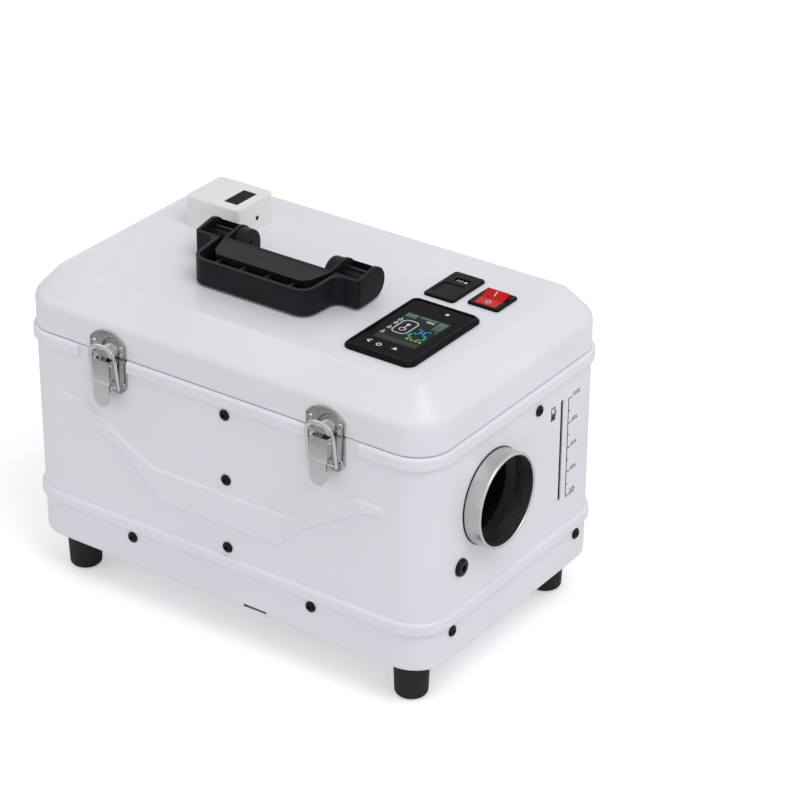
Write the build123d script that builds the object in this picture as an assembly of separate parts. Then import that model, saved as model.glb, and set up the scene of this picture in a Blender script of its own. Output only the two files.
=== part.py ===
"""Diesel air heater in a hinged toolbox case, built piece by piece in millimetres.

Case frame used while modelling: X runs along the case towards the hot air outlet, Y runs
from the front (latches) to the back (hinges), Z is up, and z = 0 is the underside of the
base pan. The last section moves every piece so that the origin lies on the ground under
the centre of the overall bounding box.
"""
from build123d import *
from math import cos, radians, sin, sqrt
import os

# ---------------------------------------------------------------- case, driving sizes
CASE_L = 400.0          # along X, wall to wall
CASE_W = 252.0          # along Y, wall to wall
FRONT_Y, REAR_Y = -CASE_W / 2, CASE_W / 2
LEFT_X, RIGHT_X = -CASE_L / 2, CASE_L / 2
CORNER_R = 30.0         # upright corners in plan
SHEET = 1.0             # steel sheet of pan, body and lid
PAN_H = 33.0            # base pan, underside to the lower bead
SEAM_Z = 191.0          # joint between body and lid
SEAM_GAP = 0.8          # open joint between body and lid
LID_TOP = 240.6
FIT = 0.3               # clearance between pieces that move against each other
SNUG = 0.05             # clearance of pieces assembled once

BEAD_OUT = 3.0          # rolled beads stand this far out of the walls
BEAD_H = 11.5
BEAD_ROUND = 2.8
FLANGE = 8.0            # inward return flange at the top of the body
SKIRT_H = 13.0          # body skirt that slips inside the pan
PAN_EDGE_R = 3.0
NOTCH_X, NOTCH_W, NOTCH_H = 34.5, 23.0, 5.0     # finger notch in the pan's front edge

SHOULDER_IN = 22.0      # slanted lid shoulder, plan width
SHOULDER_DROP = 23.0    # and height
SHOULDER_R = 12.0       # soft bend above the lid's side band
CREASE_R = 4.0          # tighter bend at the lid's flat top

RIB_OUT = 1.8           # stamped band on the front face
RIB_TAPER = 50.0
RIB_LOW, RIB_HIGH = 71.5, 102.0
RIB_HALF_LOW, RIB_HALF_HIGH = 60.0, 66.0
WING_MID_X, WING_MID_LOW, WING_MID_HIGH = 88.0, 97.0, 113.0
WING_END_X = RIGHT_X - 40.0
WING_TIP_X, WING_TIP_LOW, WING_TIP_HIGH = WING_END_X - 26.0, 129.0, 141.0
WING_HEEL_X, WING_END_H, WING_END_R = WING_END_X - 18.0, 9.0, 3.0
RIB_BEND_R = 14.0

# ---------------------------------------------------------------- feet and screws
FOOT_H = 38.0
FOOT_TOP_D, FOOT_LOW_D, FOOT_ROUND = 30.0, 27.0, 4.0
FOOT_X, FOOT_Y = RIGHT_X - 32.0, REAR_Y - 28.0
FOOT_SINK_D, FOOT_SINK_H = 11.0, 22.0           # counterbore for its screw
FOOT_SCREW_PAST = 4.0                           # screw end above the pan floor

SCREW_HEAD_D, SCREW_HEAD_H = 9.5, 2.6
SCREW_D, SCREW_LEN = 4.0, 7.0
SCREW_HEX, SCREW_HEX_DEEP = 3.0, 1.4
SCREW_HOLE_D = SCREW_D + 2 * SNUG
PAN_SCREW_X, PAN_SCREW_Y, PAN_SCREW_Z = RIGHT_X - 109.5, REAR_Y - 36.0, 27.0
DRILL = 4.0                                     # how far a hole is drilled each way from a wall
STAY_X = 8.6                                    # column of screws on the front
STAY_SCREW_Z = (52.7, 114.4, 172.7)
STAY_W, STAY_DEEP, STAY_SHEET = 22.0, 10.0, 1.5
STAY_LOW, STAY_HIGH = 46.0, 179.0
SIDE_SCREW_Z = 169.2
PLUG_Y, PLUG_Z, PLUG_D, PLUG_H = FRONT_Y + 46.6, 79.5, 15.0, 3.2
PLUG_SHANK_D, PLUG_SHANK_LEN, PLUG_HEX = 8.0, 8.0, 6.0
HEAD_ROUND, RIVET_ROUND, SOCKET_DEPTH = 0.7, 0.8, 0.6   # shares of the head height

# ---------------------------------------------------------------- hinges
HINGE_X = RIGHT_X - 90.0
HINGE_W = 46.0
LEAF_T, LEAF_H = 1.5, 24.0
KNUCKLE_R, PIN_R = 3.4, 1.8
HINGE_OFF = 4.0                                 # pin axis behind the rear wall
KNUCKLE_GAP = 0.4
NECK_UP, NECK_TRIM = 1.5, 0.6                   # knuckle necks, in shares of the leaf's edge height
HINGE_RIVET_X, HINGE_RIVET_Z = 15.0, 15.0

# ---------------------------------------------------------------- latches
LATCH_X = RIGHT_X - 93.0
LATCH_W = 36.0
PLATE_T = 1.5
BASE_LOW = 159.0                                # underside of the body plate
BASE_CUT, BASE_CUT_R = 6.0, 2.0
KEEPER_SIDE_Z, KEEPER_TOP_Z = 203.0, 212.0
DOME_R, DOME_RISE, DOME_OUT, DOME_ROUND = 8.0, 8.2, 8.2, 1.6
LEVER_HALF, LEVER_OUT, LEVER_DEEP, LEVER_T = 8.25, 11.0, 6.5, 1.0
LEVER_TOP_Z, LEVER_STEP_Z, LEVER_LOW_Z = 190.0, 170.0, 148.4
TAB_R, TAB_STEP = 8.0, 1.2
FLANGE_BELOW, FLANGE_LOW_CUT = 3.0, 1.0         # side flanges below the bail pivot
FLANGE_TOP_CUT, FLANGE_TOP_DROP = 1.5, 2.0
PIVOT_OUT, PIVOT_Z, PIVOT_R = 8.0, 185.5, 1.0   # lever pin in the ears
EAR_R, EAR_HALF_IN, EAR_T = 1.7, 5.4, 1.2
EAR_FOOT_LOW, EAR_FOOT_HIGH = 16.0, 8.0         # ear root, below the pin
EAR_TURN = radians(39)                          # where the ear's web meets its round end
PIN_HALF = 9.8
BAIL_OUT, BAIL_Z = 6.0, 165.5                   # bail pivot on the lever
BAIL_HALF, BAIL_W, BAIL_T = 10.4, 4.2, 1.8
BAIL_TOP_GAP = 0.4
BAIL_LEAN = 6.5                                 # degrees, takes the hoop in front of the dome
BAIL_STUB_R, STUB_IN, STUB_ROOT = 0.9, 0.2, 0.5      # stub through the lever's flange
RIVET_D, RIVET_HEAD_D, RIVET_HEAD_H = 2.6, 4.6, 1.1
BASE_RIVET_X, BASE_RIVET_Z = 14.2, 168.0
KEEPER_RIVET_X, KEEPER_RIVET_Z = 14.2, 199.8
BEAD_GAP_MID, BEAD_GAP_W = LATCH_X + 6.0, 50.0  # the upper bead stops at each latch

# ---------------------------------------------------------------- handle
HANDLE_X = -12.5
HANDLE_PIVOT_Y, HANDLE_PIVOT_H = -9.5, 16.5     # pin axis, height above the lid
HANDLE_END_R = 13.5
HANDLE_LIFT = 2.5                               # folded grip above the lid
GRIP_FRONT_Y, GRIP_REAR_Y, GRIP_TOP = -67.0, -27.0, 24.0
GRIP_HALF, GRIP_CORNER_R = 57.0, 13.0
ARM_HALF = 60.0
BLOCK_FRONT_Y, BLOCK_IN, BLOCK_OUT = -31.0, 50.5, 81.0
BLOCK_TOP = 29.0                                # block crest above the lid
MOULD_WALL = 3.0
TROUGH_REAR_Y, TROUGH_FLOOR = -53.0, 7.0
GRIP_RIBS, GRIP_RIB_PITCH, GRIP_RIB_T = 4, 24.0, 2.4
PALM_CORE_FRONT_Y, PALM_CORE_REAR_Y, PALM_CORE_HALF = -50.0, -30.5, 46.0
WAIST_R, BLOCK_CORNER_R, CORE_CUT, PALM_R = 8.0, 3.0, 6.0, 4.0
CROWN_UP, RIB_DOWN, BRACKET_EDGE_R = 2.0, 2.0, 2.5
BRACKET_HALF_IN, BRACKET_R = 39.5, 12.5
BRACKET_FOOT_FRONT, BRACKET_FOOT_REAR = 13.0, 12.0
HANDLE_PIN_R, HANDLE_PIN_LEN = 3.0, 24.0
PIN_BOSS_R = 6.0

# ---------------------------------------------------------------- controls on the lid
PANEL_X, PANEL_Y, PANEL_L, PANEL_W, PANEL_R = RIGHT_X - 76.5, -36.5, 65.0, 99.0, 8.0
PANEL_UP, PANEL_BEVEL, PANEL_RIM = 4.2, 2.4, 4.0
GLASS_T, GLASS_SINK = 1.2, 0.8
PANEL_BOX_WALL, PANEL_BOX_DEEP, PANEL_BOX_INSET = 2.0, 19.0, 7.0
SCREEN_L, SCREEN_W, SCREEN_T, SCREEN_DY = 40.0, 50.0, 3.0, -1.0
BOARD_T = 1.6
SOCKET_L, SOCKET_W, SOCKET_H = 20.0, 9.0, 8.0   # cable socket under the board

USB_X, USB_Y, USB_L, USB_W, USB_UP = RIGHT_X - 94.5, 47.5, 29.0, 47.0, 2.4
USB_PORT_DY, USB_PORT_L, USB_PORT_W, USB_PORT_DEEP = 11.0, 13.0, 6.0, 12.0
USB_DISH_DY, USB_DISH_L, USB_DISH_W, USB_DISH_DEEP = -8.0, 22.0, 22.0, 0.6
USB_BOX_L, USB_BOX_W, USB_BOX_DEEP = 20.0, 30.0, 20.0

SWITCH_X, SWITCH_Y, SWITCH_L, SWITCH_W = RIGHT_X - 57.5, 46.0, 29.0, 30.0
SWITCH_UP, SWITCH_WALL, SWITCH_DEEP = 2.2, 1.6, 20.0
ROCKER_L, ROCKER_HALF, ROCKER_CROWN, ROCKER_DIP = 20.0, 11.0, 4.6, 2.4
ROCKER_TILT = 12.0                              # to each side of level
ROCKER_DROP = 5.0
TRUNNION_R, TRUNNION_LEN = 1.6, 1.2
BLADE_L, BLADE_T, BLADE_H, BLADE_PITCH = 6.3, 0.8, 8.0, 8.0     # terminals below the switch

ALARM_X, ALARM_Y, ALARM_L, ALARM_W, ALARM_H = LEFT_X + 86.5, 39.5, 55.0, 45.0, 26.0
ALARM_R, ALARM_EDGE_R, ALARM_WALL, ALARM_ROOF = 5.0, 2.5, 2.5, 3.0
WINDOW_DX, WINDOW_DY, WINDOW_L, WINDOW_W, WINDOW_T = 16.5, -3.0, 14.0, 27.0, 1.5
SENSOR_R, SENSOR_DEEP, SENSOR_DY, SENSOR_UP = 1.5, 5.0, -4.0, 0.45      # hole in its right wall

# ---------------------------------------------------------------- hot air path
AIR_Y, AIR_Z = FRONT_Y + 88.0, 124.0            # axis of the heater, along X
COLLAR_R, COLLAR_T, COLLAR_OUT = 39.4, 1.2, 15.5
COLLAR_ROLL, COLLAR_FLANGE_R = 1.3, 47.0
COLLAR_NECK_R = COLLAR_R - 0.5                   # through the wall and the gasket
GASKET_R, GASKET_OUT = 41.2, 1.0
GUARD_R, GUARD_OUT, GUARD_T, GUARD_RINGS, GUARD_SPOKES = 46.0, 4.0, 2.4, 4, 6
GUARD_HOLE_R, GUARD_WALL, GUARD_GRIP, GUARD_EDGE_R = 40.0, 2.5, 3.0, 1.5

# ---------------------------------------------------------------- heater core
SHELF_Z, SHELF_L, SHELF_T, SHELF_FOOT = 59.0, CASE_L - 160.0, 1.5, 12.0
SHELF_FRONT_Y, SHELF_REAR_Y = AIR_Y - 62.0, AIR_Y + 62.0
PAD_T, PAD_L, PAD_W = 2.0, 110.0, 90.0
SHELL_L, SHELL_WALL, SHELL_W, SHELL_R, SHELL_CHAMFER = 300.0, 2.5, 116.0, 30.0, 12.0
SPIGOT_R, SPIGOT_WALL = 36.0, 2.0
SPIGOT_OUT_X, SPIGOT_IN_X = RIGHT_X - 10.0, LEFT_X + 8.0
SPLIT_GAP = 0.2
FIN_TUBE_R, FIN_TUBE_WALL, FIN_T, FIN_COUNT = 44.0, 6.0, 2.2, 24
FIN_TUBE_BORE = FIN_TUBE_R - FIN_TUBE_WALL
FIN_TIP_R = SHELL_W / 2 - SHELL_WALL - 3.5      # clear of the shell
FIN_SHORT, FIN_SHIFT = 20.0, 4.0                # fins end before the pot does
CORE_X0, CORE_X1, CORE_END_T = 140.0 - SHELL_L / 2, SHELL_L / 2 - 10.0, 6.0
BOSS_X, BOSS_L, BOSS_W, BOSS_UNDER = CORE_X0 + 55.0, 86.0, 44.0, 20.0
EXHAUST_X, INTAKE_X, FUEL_X = BOSS_X + 27.0, BOSS_X - 27.0, BOSS_X
FUEL_Y = AIR_Y - 12.0
EXHAUST_R, INTAKE_R, PIPE_WALL = 12.0, 12.5, 1.4
PIPE_DROP, PIPE_GRIP = 26.0, 9.0                # below the pan, and inside the boss
PIPE_STEP, PIPE_STEP_DOWN = 0.3, 1.0            # thinner from just below the pan upwards
PAN_CLEAR, SHELF_CLEAR, PAD_CLEAR = 3.0, 1.0, 0.5       # round the pipes
FLAME_R, FLAME_WALL = 27.0, 1.6
FLAME_LEN = CORE_X1 - CORE_X0 - CORE_END_T - 32.0       # leaves room for the gas to turn back
BURNER_FLANGE_T = 4.0
GLOW_X, GLOW_R, GLOW_LEN, GLOW_IN = CORE_X0 + 16.0, 4.5, 34.0, 6.0
GLOW_NUT_R, GLOW_NUT_H = 6.0, 4.0
BELL_L, BELL_R, BELL_WALL = 28.0, FIN_TIP_R - 2.0, 4.0
BELL_BORE = BELL_R - 8.0
MOTOR_R, MOTOR_L = 26.0, 48.0
SHAFT_R = 3.0
RUNNING = 0.06
WHEEL_R, WHEEL_W, WHEEL_VANES = BELL_BORE - 3.0, 12.0, 12
WHEEL_DISC_T, WHEEL_HUB_R, VANE_IN_R, VANE_T = 2.0, 8.0, 6.0, 1.6
FAN_R, FAN_W, FAN_HUB_R, FAN_BLADES = FIN_TIP_R - 5.0, 22.0, 17.0, 9
FAN_PITCH, FAN_TWIST, FAN_ROOT_T, FAN_TIP_T = 30.0, 34.0, 2.6, 1.8
FAN_NOSE_R, FAN_ROOT_IN = 5.0, 3.0
FAN_ROOT_CHORD, FAN_TIP_CHORD = 0.9, 1.15       # blade widths in shares of the fan width
FAN_GAP = 12.0                                  # between fan hub and motor
UNIT_L, UNIT_W, UNIT_H, UNIT_SEAT = 44.0, 48.0, 16.0, 31.0
UNIT_R, UNIT_PLUG_L, UNIT_PLUG_W, UNIT_PLUG_H = 3.0, 6.0, 20.0, 8.0
SEAT_IN, SEAT_HALF = 4.0, 16.0

# ---------------------------------------------------------------- fuel
TANK_SCREW_GAP, GAUGE_GAP = 1.0, 0.3            # to the pan screws, gauge rib to its window
TANK_X0, TANK_H, TANK_R, TANK_WALL = LEFT_X + 25.0, 166.0, 14.0, 3.0
TANK_RIGHT = RIGHT_X - SCREW_LEN - TANK_SCREW_GAP
TANK_FRONT_Y = AIR_Y + SHELL_W / 2 + 14.0
TANK_REAR_Y = REAR_Y - SCREW_LEN - TANK_SCREW_GAP
RUNNER_H, RUNNER_L = 6.0, 30.0
RUNNER_LEFT_X, RUNNER_RIGHT_X = TANK_X0 + 55.0, TANK_RIGHT - 72.0
GAUGE_RIB_W, GAUGE_RIB_WALL = 12.0, 2.0
NECK_X, NECK_R, NECK_WALL, NECK_H, NECK_ROOT = TANK_X0 + 75.0, 21.0, 3.0, 14.0, 5.0
CAP_R, CAP_H, CAP_WALL, CAP_GRIPS, CAP_GRIP_R, CAP_EDGE_R = 27.0, 15.0, 3.0, 18, 1.5, 2.0
SIDE_SCREW_Y = TANK_FRONT_Y - 6.3
SIGHT_Y, SIGHT_LOW, SIGHT_HIGH, SIGHT_W = TANK_FRONT_Y + 28.3, 71.0, 163.6, 4.0
SIGHT_T, SIGHT_MARGIN = 1.5, 6.0
PUMP_X, PUMP_Z, PUMP_R, PUMP_L = LEFT_X + 48.0, 40.0, 14.0, 70.0
PUMP_REAR_Y, PUMP_EDGE_R = AIR_Y + 28.0, 3.0
NIPPLE_R, NIPPLE_LEN = 2.5, 14.0
CLAMP_L, CLAMP_WALL, CLAMP_FOOT, CLAMP_FOOT_H, CLAMP_WEB = 22.0, 4.0, 38.0, 5.0, 14.0
HOSE_R, HOSE_BORE, HOSE_BEND = 4.0, 2.55, 15.0
HOSE_FRONT_Y = FRONT_Y + 14.0
OUTLET_R, OUTLET_FLANGE_R, OUTLET_FLANGE_T = 6.0, 10.0, 3.0
OUTLET_NECK_R = OUTLET_R - 1.0                  # through the tank wall
TIE_W, TIE_H, TIE_UP, TIE_T, TIE_REACH = 20.0, 20.0, 6.0, 1.5, 26.0

# ---------------------------------------------------------------- power lead inlet
GLAND_Y, GLAND_Z, GLAND_R, GLAND_HEX, GLAND_OUT = REAR_Y - 52.0, 64.0, 8.0, 19.0, 10.0
GLAND_BORE, GLAND_IN, GLAND_NUT_H, GLAND_EDGE_R = 3.5, 9.0, 4.0, 3.0

# ---------------------------------------------------------------- derived places
BODY_TOP = SEAM_Z - SEAM_GAP / 2
LID_LOW = SEAM_Z + SEAM_GAP / 2
LID_INSIDE = LID_TOP - SHEET
HINGE_Y = REAR_Y + HINGE_OFF
HANDLE_PIVOT_Z = LID_TOP + HANDLE_PIVOT_H
GAUGE_END = RIGHT_X - SHEET - SIGHT_T - GAUGE_GAP
TANK_MID_Y = (TANK_FRONT_Y + TANK_REAR_Y) / 2
TANK_LOW = SHEET + RUNNER_H
TANK_TOP = TANK_LOW + TANK_H
PAD_TOP = SHELF_Z + SHELF_T + PAD_T
SHELL_H = 2 * (AIR_Z - PAD_TOP)
BELL_X0 = CORE_X0 - BURNER_FLANGE_T - BELL_L
MOTOR_X0 = BELL_X0 - MOTOR_L
FAN_X1 = MOTOR_X0 - FAN_GAP
SHAFT_X0 = FAN_X1 - FAN_W - WHEEL_DISC_T
WHEEL_X1 = CORE_X0 - BURNER_FLANGE_T - BELL_WALL - WHEEL_DISC_T
ROCKER_Z = LID_TOP + SWITCH_UP - ROCKER_DROP
BOX_LEFT = LEFT_X - GLAND_OUT
BOX_RIGHT = RIGHT_X + COLLAR_OUT
BOX_FRONT = FRONT_Y - LEVER_OUT - TAB_STEP
BOX_REAR = HINGE_Y + KNUCKLE_R


# ---------------------------------------------------------------- shape helpers
def block(length, width, radius, low, high):
    """Upright block with round corners, centred on the case."""
    return Pos(0, 0, low) * extrude(RectangleRounded(length, width, radius), high - low)


def cuboid(x0, x1, y0, y1, z0, z1):
    """Plain box between two corners."""
    return Pos((x0 + x1) / 2, (y0 + y1) / 2, (z0 + z1) / 2) * Box(x1 - x0, y1 - y0, z1 - z0)


def rod_x(radius, x0, x1, y, z):
    """Round bar along X."""
    return Pos((x0 + x1) / 2, y, z) * Rot(0, 90, 0) * Cylinder(radius, x1 - x0)


def rod_y(radius, y0, y1, x, z):
    """Round bar along Y."""
    return Pos(x, (y0 + y1) / 2, z) * Rot(90, 0, 0) * Cylinder(radius, y1 - y0)


def rod_z(radius, z0, z1, x, y):
    """Round bar along Z."""
    return Pos(x, y, (z0 + z1) / 2) * Cylinder(radius, z1 - z0)


def face_from(points):
    """Flat face inside a closed run of straight lines in the XY plane."""
    return make_face(Polyline(*points, close=True))


def side_profile(points, x0, x1):
    """Outline given as (y, z) pairs, pushed along X."""
    plane = Plane(origin=(x0, 0, 0), x_dir=(0, 1, 0), z_dir=(1, 0, 0))
    return extrude(plane * face_from(points), x1 - x0)


def front_profile(sketch, y0, thick):
    """Sketch in (x, z), pushed from y0 towards the front."""
    plane = Plane(origin=(0, y0, 0), x_dir=(1, 0, 0), z_dir=(0, -1, 0))
    return extrude(plane * sketch, thick)


def mirrored_x(solid):
    """The same shape on the other side of the YZ plane."""
    return mirror(solid, about=Plane.YZ)


def both_sides(solid):
    """A piece and its twin on the other side of the YZ plane."""
    return [solid, mirrored_x(solid)]


def screw(head_d=SCREW_HEAD_D, head_h=SCREW_HEAD_H, shank_d=SCREW_D, shank=SCREW_LEN,
          hexagon=SCREW_HEX, deep=SCREW_HEX_DEEP):
    """Button head screw, head above z = 0 and shank below."""
    head = Pos(0, 0, head_h / 2) * Cylinder(head_d / 2, head_h)
    head = fillet(head.edges().group_by(Axis.Z)[-1], head_h * HEAD_ROUND)
    socket = Pos(0, 0, head_h - deep) * extrude(RegularPolygon(hexagon / 2, 6), deep)
    return head - socket + Pos(0, 0, -shank / 2) * Cylinder(shank_d / 2, shank)


def rivet(grip):
    """Domed rivet, head above z = 0."""
    head = Pos(0, 0, RIVET_HEAD_H / 2) * Cylinder(RIVET_HEAD_D / 2, RIVET_HEAD_H)
    head = fillet(head.edges().group_by(Axis.Z)[-1], RIVET_HEAD_H * RIVET_ROUND)
    return head + Pos(0, 0, -grip / 2) * Cylinder(RIVET_D / 2, grip)


FACING_FRONT = Rot(90, 0, 0)
FACING_REAR = Rot(-90, 0, 0)
FACING_RIGHT = Rot(0, 90, 0)
FACING_LEFT = Rot(0, -90, 0)


# ---------------------------------------------------------------- places of fasteners
def pan_screw_places():
    """Two screws in each side of the base pan."""
    for sign in (-1, 1):
        yield Pos(sign * PAN_SCREW_X, FRONT_Y, PAN_SCREW_Z) * FACING_FRONT
        yield Pos(sign * PAN_SCREW_X, REAR_Y, PAN_SCREW_Z) * FACING_REAR
        yield Pos(RIGHT_X, sign * PAN_SCREW_Y, PAN_SCREW_Z) * FACING_RIGHT
        yield Pos(LEFT_X, sign * PAN_SCREW_Y, PAN_SCREW_Z) * FACING_LEFT


def panel_screw_places():
    """The column of front screws and the single one on the outlet side."""
    for height in STAY_SCREW_Z:
        yield Pos(STAY_X, FRONT_Y, height) * FACING_FRONT
    yield Pos(RIGHT_X, SIDE_SCREW_Y, SIDE_SCREW_Z) * FACING_RIGHT


def foot_places():
    """Four corners of the underside."""
    for x in (-FOOT_X, FOOT_X):
        for y in (-FOOT_Y, FOOT_Y):
            yield Pos(x, y, 0)


def body_rivet_places():
    """Rivets of the latch bases and of the lower hinge leaves."""
    for x in (-LATCH_X, LATCH_X):
        for dx in (-BASE_RIVET_X, BASE_RIVET_X):
            yield Pos(x + dx, FRONT_Y - PLATE_T, BASE_RIVET_Z) * FACING_FRONT
    for x in (-HINGE_X, HINGE_X):
        for dx in (-HINGE_RIVET_X, HINGE_RIVET_X):
            yield Pos(x + dx, REAR_Y + LEAF_T, SEAM_Z - HINGE_RIVET_Z) * FACING_REAR


def lid_rivet_places():
    """Rivets of the keepers and of the upper hinge leaves."""
    for x in (-LATCH_X, LATCH_X):
        for dx in (-KEEPER_RIVET_X, KEEPER_RIVET_X):
            yield Pos(x + dx, FRONT_Y - PLATE_T, KEEPER_RIVET_Z) * FACING_FRONT
    for x in (-HINGE_X, HINGE_X):
        for dx in (-HINGE_RIVET_X, HINGE_RIVET_X):
            yield Pos(x + dx, REAR_Y + LEAF_T, SEAM_Z + HINGE_RIVET_Z) * FACING_REAR


def drilled(solid, places, diameter, reach):
    """Clearance holes through the walls at each place."""
    for place in places:
        solid = solid - place * Cylinder(diameter / 2, 2 * reach)
    return solid


RIVET_GRIP = PLATE_T + SHEET + 0.6
RIVET_HOLE_D = RIVET_D + 2 * SNUG


# ---------------------------------------------------------------- case
def base_pan():
    """Pressed tray with the floor of the case."""
    tray = block(CASE_L, CASE_W, CORNER_R, 0, PAN_H)
    tray = fillet(tray.edges().group_by(Axis.Z)[0], PAN_EDGE_R)
    hollow = block(CASE_L - 2 * SHEET, CASE_W - 2 * SHEET, CORNER_R - SHEET, SHEET, PAN_H)
    hollow = fillet(hollow.edges().group_by(Axis.Z)[0], PAN_EDGE_R - SHEET)
    tray = tray - hollow
    tray = tray - Pos(NOTCH_X, FRONT_Y, 0) * Box(NOTCH_W, 4 * SHEET, 2 * NOTCH_H)
    tray = tray - rod_z(EXHAUST_R + PAN_CLEAR, -SHEET, 2 * SHEET, EXHAUST_X, AIR_Y)
    tray = tray - rod_z(INTAKE_R + PAN_CLEAR, -SHEET, 2 * SHEET, INTAKE_X, AIR_Y)
    tray = drilled(tray, pan_screw_places(), SCREW_HOLE_D, DRILL)
    return drilled(tray, foot_places(), SCREW_HOLE_D, DRILL)


def bead(low, grow):
    """Rolled bead round the case; grow < 0 gives its hollow."""
    length = CASE_L + 2 * (BEAD_OUT + grow)
    width = CASE_W + 2 * (BEAD_OUT + grow)
    roll = block(length, width, CORNER_R + BEAD_OUT + grow, low - grow, low + BEAD_H + grow)
    edges = roll.edges().group_by(Axis.Z)[0] + roll.edges().group_by(Axis.Z)[-1]
    return fillet(edges, BEAD_ROUND + grow)


def bead_gaps():
    """Places where the upper bead stops for the latches and the hinges."""
    low, high = BODY_TOP - BEAD_H - 1, SEAM_Z + 1
    gaps = cuboid(BEAD_GAP_MID - BEAD_GAP_W / 2, BEAD_GAP_MID + BEAD_GAP_W / 2,
                  FRONT_Y - 2 * BEAD_OUT, FRONT_Y, low, high)
    gaps = gaps + cuboid(HINGE_X - HINGE_W / 2 - 1, HINGE_X + HINGE_W / 2 + 1,
                         REAR_Y, REAR_Y + 2 * BEAD_OUT, low, high)
    return gaps + mirrored_x(gaps)


def stamped_band():
    """Raised band across the front: level in the middle, wings rising outwards."""
    half = [(RIB_HALF_HIGH, RIB_HIGH), (WING_MID_X, WING_MID_HIGH), (WING_TIP_X, WING_TIP_HIGH),
            (WING_END_X, WING_TIP_HIGH), (WING_END_X, WING_TIP_HIGH - WING_END_H),
            (WING_HEEL_X, WING_TIP_LOW), (WING_MID_X, WING_MID_LOW), (RIB_HALF_LOW, RIB_LOW)]
    outline = half + [(-x, z) for x, z in reversed(half)]
    face = face_from(outline)
    bends = [v for v in face.vertices() if abs(v.X) < WING_END_X - 1]
    face = fillet(bends, RIB_BEND_R)
    face = fillet([v for v in face.vertices() if abs(v.X) > WING_END_X - 1], WING_END_R)
    plane = Plane(origin=(0, FRONT_Y, 0), x_dir=(1, 0, 0), z_dir=(0, -1, 0))
    return extrude(plane * face, RIB_OUT, taper=RIB_TAPER)


def case_body():
    """Four walls in one wrap, with two rolled beads, a skirt and a return flange."""
    walls = block(CASE_L, CASE_W, CORNER_R, PAN_H, BODY_TOP)
    upper = bead(BODY_TOP - BEAD_H, 0) - bead_gaps()
    walls = walls + bead(PAN_H, 0) + upper
    inner = CORNER_R - SHEET
    hollow = block(CASE_L - 2 * SHEET, CASE_W - 2 * SHEET, inner, PAN_H + SHEET, BODY_TOP - SHEET)
    hollow = hollow + bead(PAN_H, -SHEET)
    mouth = block(CASE_L - 2 * (SHEET + FLANGE), CASE_W - 2 * (SHEET + FLANGE), inner - FLANGE,
                  PAN_H - SKIRT_H, BODY_TOP)
    slip = SHEET + SNUG
    skirt = block(CASE_L - 2 * slip, CASE_W - 2 * slip, CORNER_R - slip, PAN_H - SKIRT_H, PAN_H)
    bore = block(CASE_L - 2 * (slip + SHEET), CASE_W - 2 * (slip + SHEET), CORNER_R - slip - SHEET,
                 PAN_H - SKIRT_H, PAN_H + SHEET)
    walls = walls + skirt - hollow - mouth - bore + stamped_band()
    walls = walls - wall_hole(COLLAR_NECK_R + SNUG, RIGHT_X, AIR_Y, AIR_Z)
    walls = walls - wall_hole(GUARD_HOLE_R, LEFT_X, AIR_Y, AIR_Z)
    slot = Pos(RIGHT_X, SIGHT_Y, (SIGHT_LOW + SIGHT_HIGH) / 2) * FACING_RIGHT
    slot = slot * extrude(SlotOverall(SIGHT_HIGH - SIGHT_LOW, SIGHT_W), DRILL, both=True)
    walls = walls - slot
    walls = walls - wall_hole(PLUG_SHANK_D / 2 + SNUG, RIGHT_X, PLUG_Y, PLUG_Z)
    walls = walls - wall_hole(GLAND_R + SNUG, LEFT_X, GLAND_Y, GLAND_Z)
    walls = drilled(walls, pan_screw_places(), SCREW_HOLE_D, DRILL)
    walls = drilled(walls, panel_screw_places(), SCREW_HOLE_D, DRILL)
    return drilled(walls, body_rivet_places(), RIVET_HOLE_D, DRILL)


def wall_hole(radius, wall_x, y, z):
    """Round hole through an end wall."""
    return rod_x(radius, wall_x - DRILL, wall_x + DRILL, y, z)


def lid_form(shrink):
    """Lid with slanted shoulders; shrink > 0 gives its inside."""
    length, width = CASE_L - 2 * shrink, CASE_W - 2 * shrink
    low = LID_LOW if shrink == 0 else LID_LOW - 1
    form = block(length, width, CORNER_R - shrink, low, LID_TOP - shrink)
    top = form.faces().sort_by(Axis.Z)[-1]
    keep = shrink * (2 - sqrt(2))
    form = chamfer(top.edges(), SHOULDER_IN - keep, SHOULDER_DROP - keep, reference=top)
    crease = form.edges().filter_by(lambda e: abs(e.bounding_box().min.Z - LID_TOP + shrink) < 0.01)
    form = fillet(crease, CREASE_R)
    bend_z = LID_TOP - shrink - SHOULDER_DROP + keep
    level = form.edges().filter_by(lambda e: e.bounding_box().size.Z < 0.01)
    return fillet(level.filter_by(lambda e: abs(e.center().Z - bend_z) < 0.01), SHOULDER_R)


def lid_shell():
    """Sheet lid with the cut-outs of the controls."""
    lid = lid_form(0) - lid_form(SHEET)
    low, high = LID_INSIDE - 2, LID_TOP + 2
    panel_l, panel_w = PANEL_L - 2 * PANEL_BOX_INSET, PANEL_W - 2 * PANEL_BOX_INSET
    for x, y, length, width in ((PANEL_X, PANEL_Y, panel_l, panel_w), (USB_X, USB_Y, USB_BOX_L, USB_BOX_W),
                                (SWITCH_X, SWITCH_Y, switch_box_l(), switch_box_w())):
        lid = lid - cuboid(x - length / 2 - SNUG, x + length / 2 + SNUG,
                           y - width / 2 - SNUG, y + width / 2 + SNUG, low, high)
    for place in bracket_screw_places():
        lid = lid - place * Cylinder(SCREW_HOLE_D / 2, 2 * DRILL)
    return drilled(lid, lid_rivet_places(), RIVET_HOLE_D, DRILL)


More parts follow.
